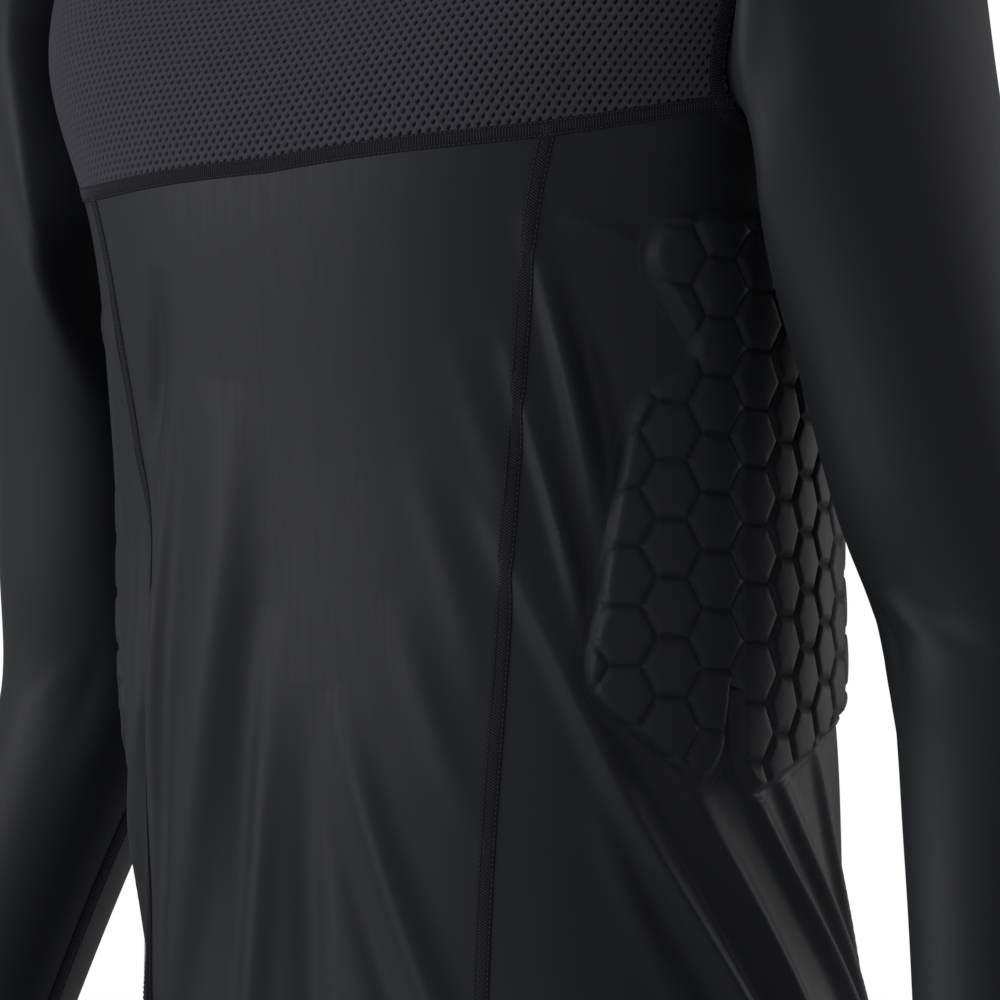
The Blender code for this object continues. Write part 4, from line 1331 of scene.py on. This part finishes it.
def across_step(surface, line, closed):
    """The change of place that moves one millimetre across a line, at each point."""
    here, normal = surface(line)
    by_u, by_v = ((surface(line + by)[0] - here) / SMALL for by in ([SMALL, 0], [0, SMALL]))
    if closed:
        along = np.roll(here, -1, axis=0) - np.roll(here, 1, axis=0)
    else:
        along = np.gradient(here, axis=0)
    across = np.cross(normal, along)
    across /= np.linalg.norm(across, axis=1)[:, None]
    uu, uv, vv = (by_u**2).sum(1), (by_u * by_v).sum(1), (by_v**2).sum(1)
    u, v = (by_u * across).sum(1), (by_v * across).sum(1)
    area = uu * vv - uv * uv
    return np.stack([(vv * u - uv * v) / area, (uu * v - uv * u) / area], axis=1)


# %% A band along a seam
def seam_band(name, lines):
    """A thin band along seams. lines holds (surface, places, closed)."""
    points, faces, uvs = [], [], []
    count = len(SECTION)
    for surface, line, closed in lines:
        first = len(points)
        step = across_step(surface, line, closed)
        for i in range(len(line)):
            where = np.array([line[i] + step[i] * e.across * BAND_HALF for e in SECTION])
            points += list(surface(where, np.array([e.lift for e in SECTION]))[0])
            uvs += [(e.across * BAND_HALF, i * 2.0) for e in SECTION]
        rows = len(line)
        for i in range(rows if closed else rows - 1):
            a, b = first + i * count, first + (i + 1) % rows * count
            for k in range(count):
                m = (k + 1) % count
                faces.append((a + k, b + k, b + m, a + m))
        if not closed:
            last = first + (rows - 1) * count
            faces.append(tuple(first + k for k in range(count)))
            faces.append(tuple(last + k for k in range(count))[::-1])
    band = made(name, np.array(points) * MM, faces, np.array(uvs) * MM, seam_tape)
    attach(band, "root")
    print(name, len(faces), "faces")
    return band


# %% The stitch tree
def stitch_tree():
    """Bent threads, one after another along guide lines. The attribute up stands off
    the cloth, and Turn is each thread's angle to its line."""
    tree, given = new_tree("row_of_stitches", (
        ("Geometry", "Geometry", None),
        ("Pitch", "Float", 2.1 * MM),
        ("Length", "Float", 1.7 * MM),
        ("Thread", "Float", 0.2 * MM),
        ("Rise", "Float", 0.3 * MM),
        ("Turn", "Float", 0.0),
        ("Scatter", "Float", 0.06),
        ("Seed", "Int", 7),
        ("Material", "Material", None),
    ))
    add, calc = partial(new_node, tree), partial(maths, tree)
    path = add("GeometryNodeMeshToCurve", {"Mesh": given["Geometry"]}).outputs["Curve"]
    walk = {"Curve": path, "Length": given["Pitch"]}
    steps = add("GeometryNodeResampleCurve", walk, mode="LENGTH")
    up = add("GeometryNodeInputNamedAttribute", {"Name": "up"}, data_type="FLOAT_VECTOR")
    axes = {
        "Primary Axis": up.outputs["Attribute"],
        "Secondary Axis": add("GeometryNodeInputTangent").outputs[0],
    }
    upright = add("FunctionNodeAxesToRotation", axes, primary_axis="Z", secondary_axis="X")
    wobble = add("FunctionNodeRandomValue", {
        2: calc("MULTIPLY", given["Scatter"], -1.0),
        3: given["Scatter"],
        "Seed": given["Seed"],
    }, data_type="FLOAT")
    angle = calc("ADD", given["Turn"], wobble.outputs[1])
    turn = add("ShaderNodeCombineXYZ", {"Z": angle}).outputs[0]
    spin = add("FunctionNodeEulerToRotation", {0: turn}).outputs[0]
    turned = add("FunctionNodeRotateRotation", {
        0: upright.outputs[0],
        1: spin,
    }, rotation_space="LOCAL")
    sink = calc("MULTIPLY", given["Rise"], -1.0)
    start, end = (
        add("ShaderNodeCombineXYZ", {"X": calc("MULTIPLY", given["Length"], by), "Z": sink})
        for by in (-0.5, 0.5)
    )
    bow = add("GeometryNodeCurveQuadraticBezier", {
        "Resolution": 3,
        "Start": start.outputs[0],
        "Middle": add("ShaderNodeCombineXYZ", {"Z": given["Rise"]}).outputs[0],
        "End": end.outputs[0],
    })
    round_yarn = {"Resolution": 4, "Radius": given["Thread"]}
    yarn = add("GeometryNodeCurvePrimitiveCircle", round_yarn, mode="RADIUS")
    stitch = add("GeometryNodeCurveToMesh", {
        "Curve": bow.outputs[0],
        "Profile Curve": yarn.outputs[0],
        "Fill Caps": True,
    })
    copies = add("GeometryNodeInstanceOnPoints", {
        "Points": steps.outputs[0],
        "Instance": stitch.outputs[0],
        "Rotation": turned.outputs[0],
    })
    real = add("GeometryNodeRealizeInstances", {0: copies.outputs[0]})
    smooth = add("GeometryNodeSetShadeSmooth", {0: real.outputs[0]})
    give_out(tree, smooth.outputs[0], given["Material"])
    return tree


STITCHES = stitch_tree()


# %% Rows of stitches
def stitches(name, lines, offset, lift, seed, **sizes):
    """Stitches along lines, moved across them by an offset. sizes are in mm."""
    points, ups, edges = [], [], []
    for surface, line, closed in lines:
        moved = line + across_step(surface, line, closed) * offset
        at, normal = surface(moved, lift)
        first = len(points)
        points += list(at * MM)
        ups += list(normal)
        edges += [(first + i, first + i + 1) for i in range(len(line) - 1)]
        if closed:
            edges.append((first + len(line) - 1, first))
    mesh = bpy.data.meshes.new(name)
    mesh.from_pydata(np.array(points).tolist(), edges, [])
    up = mesh.attributes.new("up", "FLOAT_VECTOR", "POINT")
    up.data.foreach_set("vector", np.array(ups, np.float32).ravel())
    host = placed(name + "_guide", mesh)
    values = {label.title(): value * MM for label, value in sizes.items() if label != "turn"}
    values.update({"Turn": sizes.get("turn", 0.0), "Seed": seed, "Material": thread})
    made_mesh = grown(name, host, STITCHES, values)
    bpy.data.objects.remove(host)
    return made_mesh


def sewn(name, meshes):
    """One piece from several rows of stitches."""
    points, faces = [], []
    for mesh in meshes:
        shift = sum(len(p) for p in points)
        points.append(read(mesh.vertices, "co", 3))
        faces += [tuple(shift + v for v in f.vertices) for f in mesh.polygons]
        bpy.data.meshes.remove(mesh)
    points = np.concatenate(points)
    piece = made(name, points, faces, points[:, :2] + points[:, 2:], thread, 180)
    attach(piece, "root")
    print(name, len(faces), "faces")
    return piece


# %% Where the seams run
INSEAM_TOP = 4  # the row of the sleeve where its inseam starts, clear of the armhole


def on_torso(line, closed=False):
    """A line of the left half and its twin on the right."""
    return [(torso, line * [sign, 1], closed) for sign in SIDES.values()]


around_arm = np.linspace(0, ARMHOLE_STEPS, 240, endpoint=False)
down_arm = np.linspace(INSEAM_TOP, SLEEVE_ROWS - 1, 240)
inseam = np.stack([np.zeros(240), down_arm], axis=1)
seam_groups = {
    "yoke_seam": [(torso, evenly(whole_yoke, 200), False)],
    "front_seams": [
        (torso, evenly(front_edge[side], 240) * [sign, 1], False)
        for side, sign in SIDES.items()
    ],
    "back_seams": on_torso(evenly(back_edge, 260)),
    "armhole_seams": on_torso(armhole(around_arm, out=BAND_HALF + 0.4), closed=True),
    "shoulder_seams": on_torso(evenly(shoulder, 60)),
    "sleeve_inseams": [(sleeve_at(side), inseam, False) for side in SIDES],
}

# %% Sew them
NEEDLE = dict(pitch=2.1, length=1.35, thread=0.24, rise=0.2)
COVER = dict(pitch=1.2, length=5.0, thread=0.2, rise=0.16)
COVER_TURN = {"yoke_seam": 86, "front_seams": 62, "shoulder_seams": 80}
NEEDLE_OUT = 2.7  # how far the needle rows lie from the middle of the seam
on_seam = {}
for name, lines in seam_groups.items():
    turn = math.radians(COVER_TURN.get(name, 70))
    rows = [
        stitches(name, lines, NEEDLE_OUT, 0.6, seed=3, **NEEDLE),
        stitches(name, lines, -NEEDLE_OUT, 0.6, seed=5, **NEEDLE),
        stitches(name, lines, 0.0, 0.5, seed=7, turn=turn, **COVER),
    ]
    on_seam[name] = [seam_band(name, lines), sewn(name + "_stitches", rows)]

# %% Hem, cuffs and neck
HEM_ROWS = (20.0, 25.5)
NECK_ROWS = (727.0, 730.0)
hem_arcs = np.linspace(-HALF_GIRTH, HALF_GIRTH, 480, endpoint=False)
edge_lines = [(torso, level_line(hem_arcs, row), True) for row in HEM_ROWS]
cuff_steps = np.linspace(0, ARMHOLE_STEPS, 160, endpoint=False)
for side in SIDES:
    runs = sleeve_nets[side][2]
    for row in HEM_ROWS:
        place = np.interp(runs[-1] - row, runs, np.arange(len(runs)))
        edge_lines.append((sleeve_at(side), level_line(cuff_steps, place), True))
edge_lines += [(torso, level_line(hem_arcs[::2], row), True) for row in NECK_ROWS]
edge_rows = stitches("edges", edge_lines, 0.0, 0.05, seed=11, **NEEDLE)
hem_stitches = sewn("hem_cuff_and_neck_stitches", [edge_rows])

# %% [markdown]
# ## The cut of each cloth
#
# Every piece of cloth is listed with the size it is cut to on the table. A compression
# shirt is cut about a tenth smaller than the body and stretched over it, so the flat sizes
# are a little below the worn ones.

# %% Flat sizes, in metres
Cut = namedtuple("Cut", "piece width length area on_it")
CUTS = (
    Cut(yoke, 0.44, 0.275, 0.086, [eyelets] + on_seam["yoke_seam"] + on_seam["shoulder_seams"]),
    Cut(front, 0.225, 0.485, 0.089, on_seam["front_seams"]),
    Cut(side_pieces["left"], 0.27, 0.55, 0.118, []),
    Cut(side_pieces["right"], 0.27, 0.55, 0.118, []),
    Cut(back, 0.38, 0.73, 0.190, on_seam["back_seams"] + [hem_stitches]),
    Cut(sleeves["left"], 0.42, 0.58, 0.150, on_seam["armhole_seams"]),
    Cut(sleeves["right"], 0.42, 0.58, 0.150, on_seam["sleeve_inseams"]),
)
for c in CUTS:
    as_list(c.on_it)
print("sheets:", len(CUTS) + 1)

# %% [markdown]
# ## Light and camera
#
# The shirt stands before plain white in soft studio light. The key lamp is at its right
# front, so the chest is lit and the padded side falls into shade, and a second lamp behind
# its left draws the edge of the pad. Both stand off the floor's edge, where no view sees
# them. A long lens from a little below looks up at the left ribs.

# %% Camera
AZIMUTH = math.radians(38)
ELEVATION = math.radians(-7)
DISTANCE = 2.5
AIM_ASIDE = 0.0077
AIM_HEIGHT = -0.361
target = Vector((AIM_ASIDE * math.cos(AZIMUTH), AIM_ASIDE * math.sin(AZIMUTH), AIM_HEIGHT))
out = Vector((
    math.sin(AZIMUTH) * math.cos(ELEVATION),
    -math.cos(AZIMUTH) * math.cos(ELEVATION),
    math.sin(ELEVATION),
))
camera_data = bpy.data.cameras.new("camera")
camera_data.lens = 209
camera_data.sensor_width = 36
camera = placed("camera", camera_data)
camera.location = target + out * DISTANCE
camera.rotation_euler = (-out).to_track_quat("-Z", "Y").to_euler()
scene.camera = camera

# %% Floor
FLOOR_HALF = 4.0
FLOOR_LEVEL = -0.76
FLOOR_CORNERS = [(-1, -1), (1, -1), (1, 1), (-1, 1)]
floor_spots = [(x * FLOOR_HALF, y * FLOOR_HALF, FLOOR_LEVEL) for x, y in FLOOR_CORNERS]
floor_mesh = bpy.data.meshes.new("floor")
floor_mesh.from_pydata(floor_spots, [], [(0, 1, 2, 3)])
floor_paint = bpy.data.materials.new("floor_paint")
floor_paint.use_nodes = True
feed(floor_paint.node_tree, floor_paint.node_tree.nodes["Principled BSDF"], {
    "Base Color": (0.95, 0.95, 0.95, 1),
    "Roughness": 0.9,
})
floor_mesh.materials.append(floor_paint)
floor = placed("floor", floor_mesh)


# %% Lamps
def lamp(name, where, aim, width, height, power):
    """A soft lamp that points at a place. Sizes are in metres and the power in watts."""
    data = bpy.data.lights.new(name, "AREA")
    data.shape = "RECTANGLE"
    data.size = width
    data.size_y = height
    data.energy = power
    new = placed(name, data)
    new.location = where
    new.rotation_euler = (Vector(aim) - Vector(where)).to_track_quat("-Z", "Y").to_euler()


lamp("key", (-4.2, -5.1, 1.0), (0, 0, -0.4), 4.8, 3.4, 150)
lamp("rim", (3.2, 5.4, 0.1), (0.1, 0, -0.45), 5.0, 1.6, 60)

# %% Backdrop
# The camera sees plain white, and the cloth is lit by a dimmer white.
WHITE = (1, 1, 1, 1)
world = bpy.data.worlds.new("white_room")
world.use_nodes = True
scene.world = world
tree = world.node_tree
sky = tree.nodes["Background"]
feed(tree, sky, {"Color": WHITE, "Strength": 0.2})
plain = new_node(tree, "ShaderNodeBackground", {"Color": WHITE, "Strength": 1.0})
choice = new_node(tree, "ShaderNodeMixShader", {
    "Fac": new_node(tree, "ShaderNodeLightPath").outputs["Is Camera Ray"],
    1: sky.outputs["Background"],
    2: plain.outputs["Background"],
})
feed(tree, tree.nodes["World Output"], {"Surface": choice.outputs["Shader"]})
scene.view_settings.view_transform = "Standard"

# %% Count
pieces = [o for o in scene.objects if o.type == "MESH" and not o.hide_render and o is not floor]
triangles = {o.name: sum(len(p.vertices) - 2 for p in o.data.polygons) for o in pieces}
for name in sorted(triangles, key=triangles.get):
    print(name, triangles[name], "triangles")
print("in all", sum(triangles.values()))
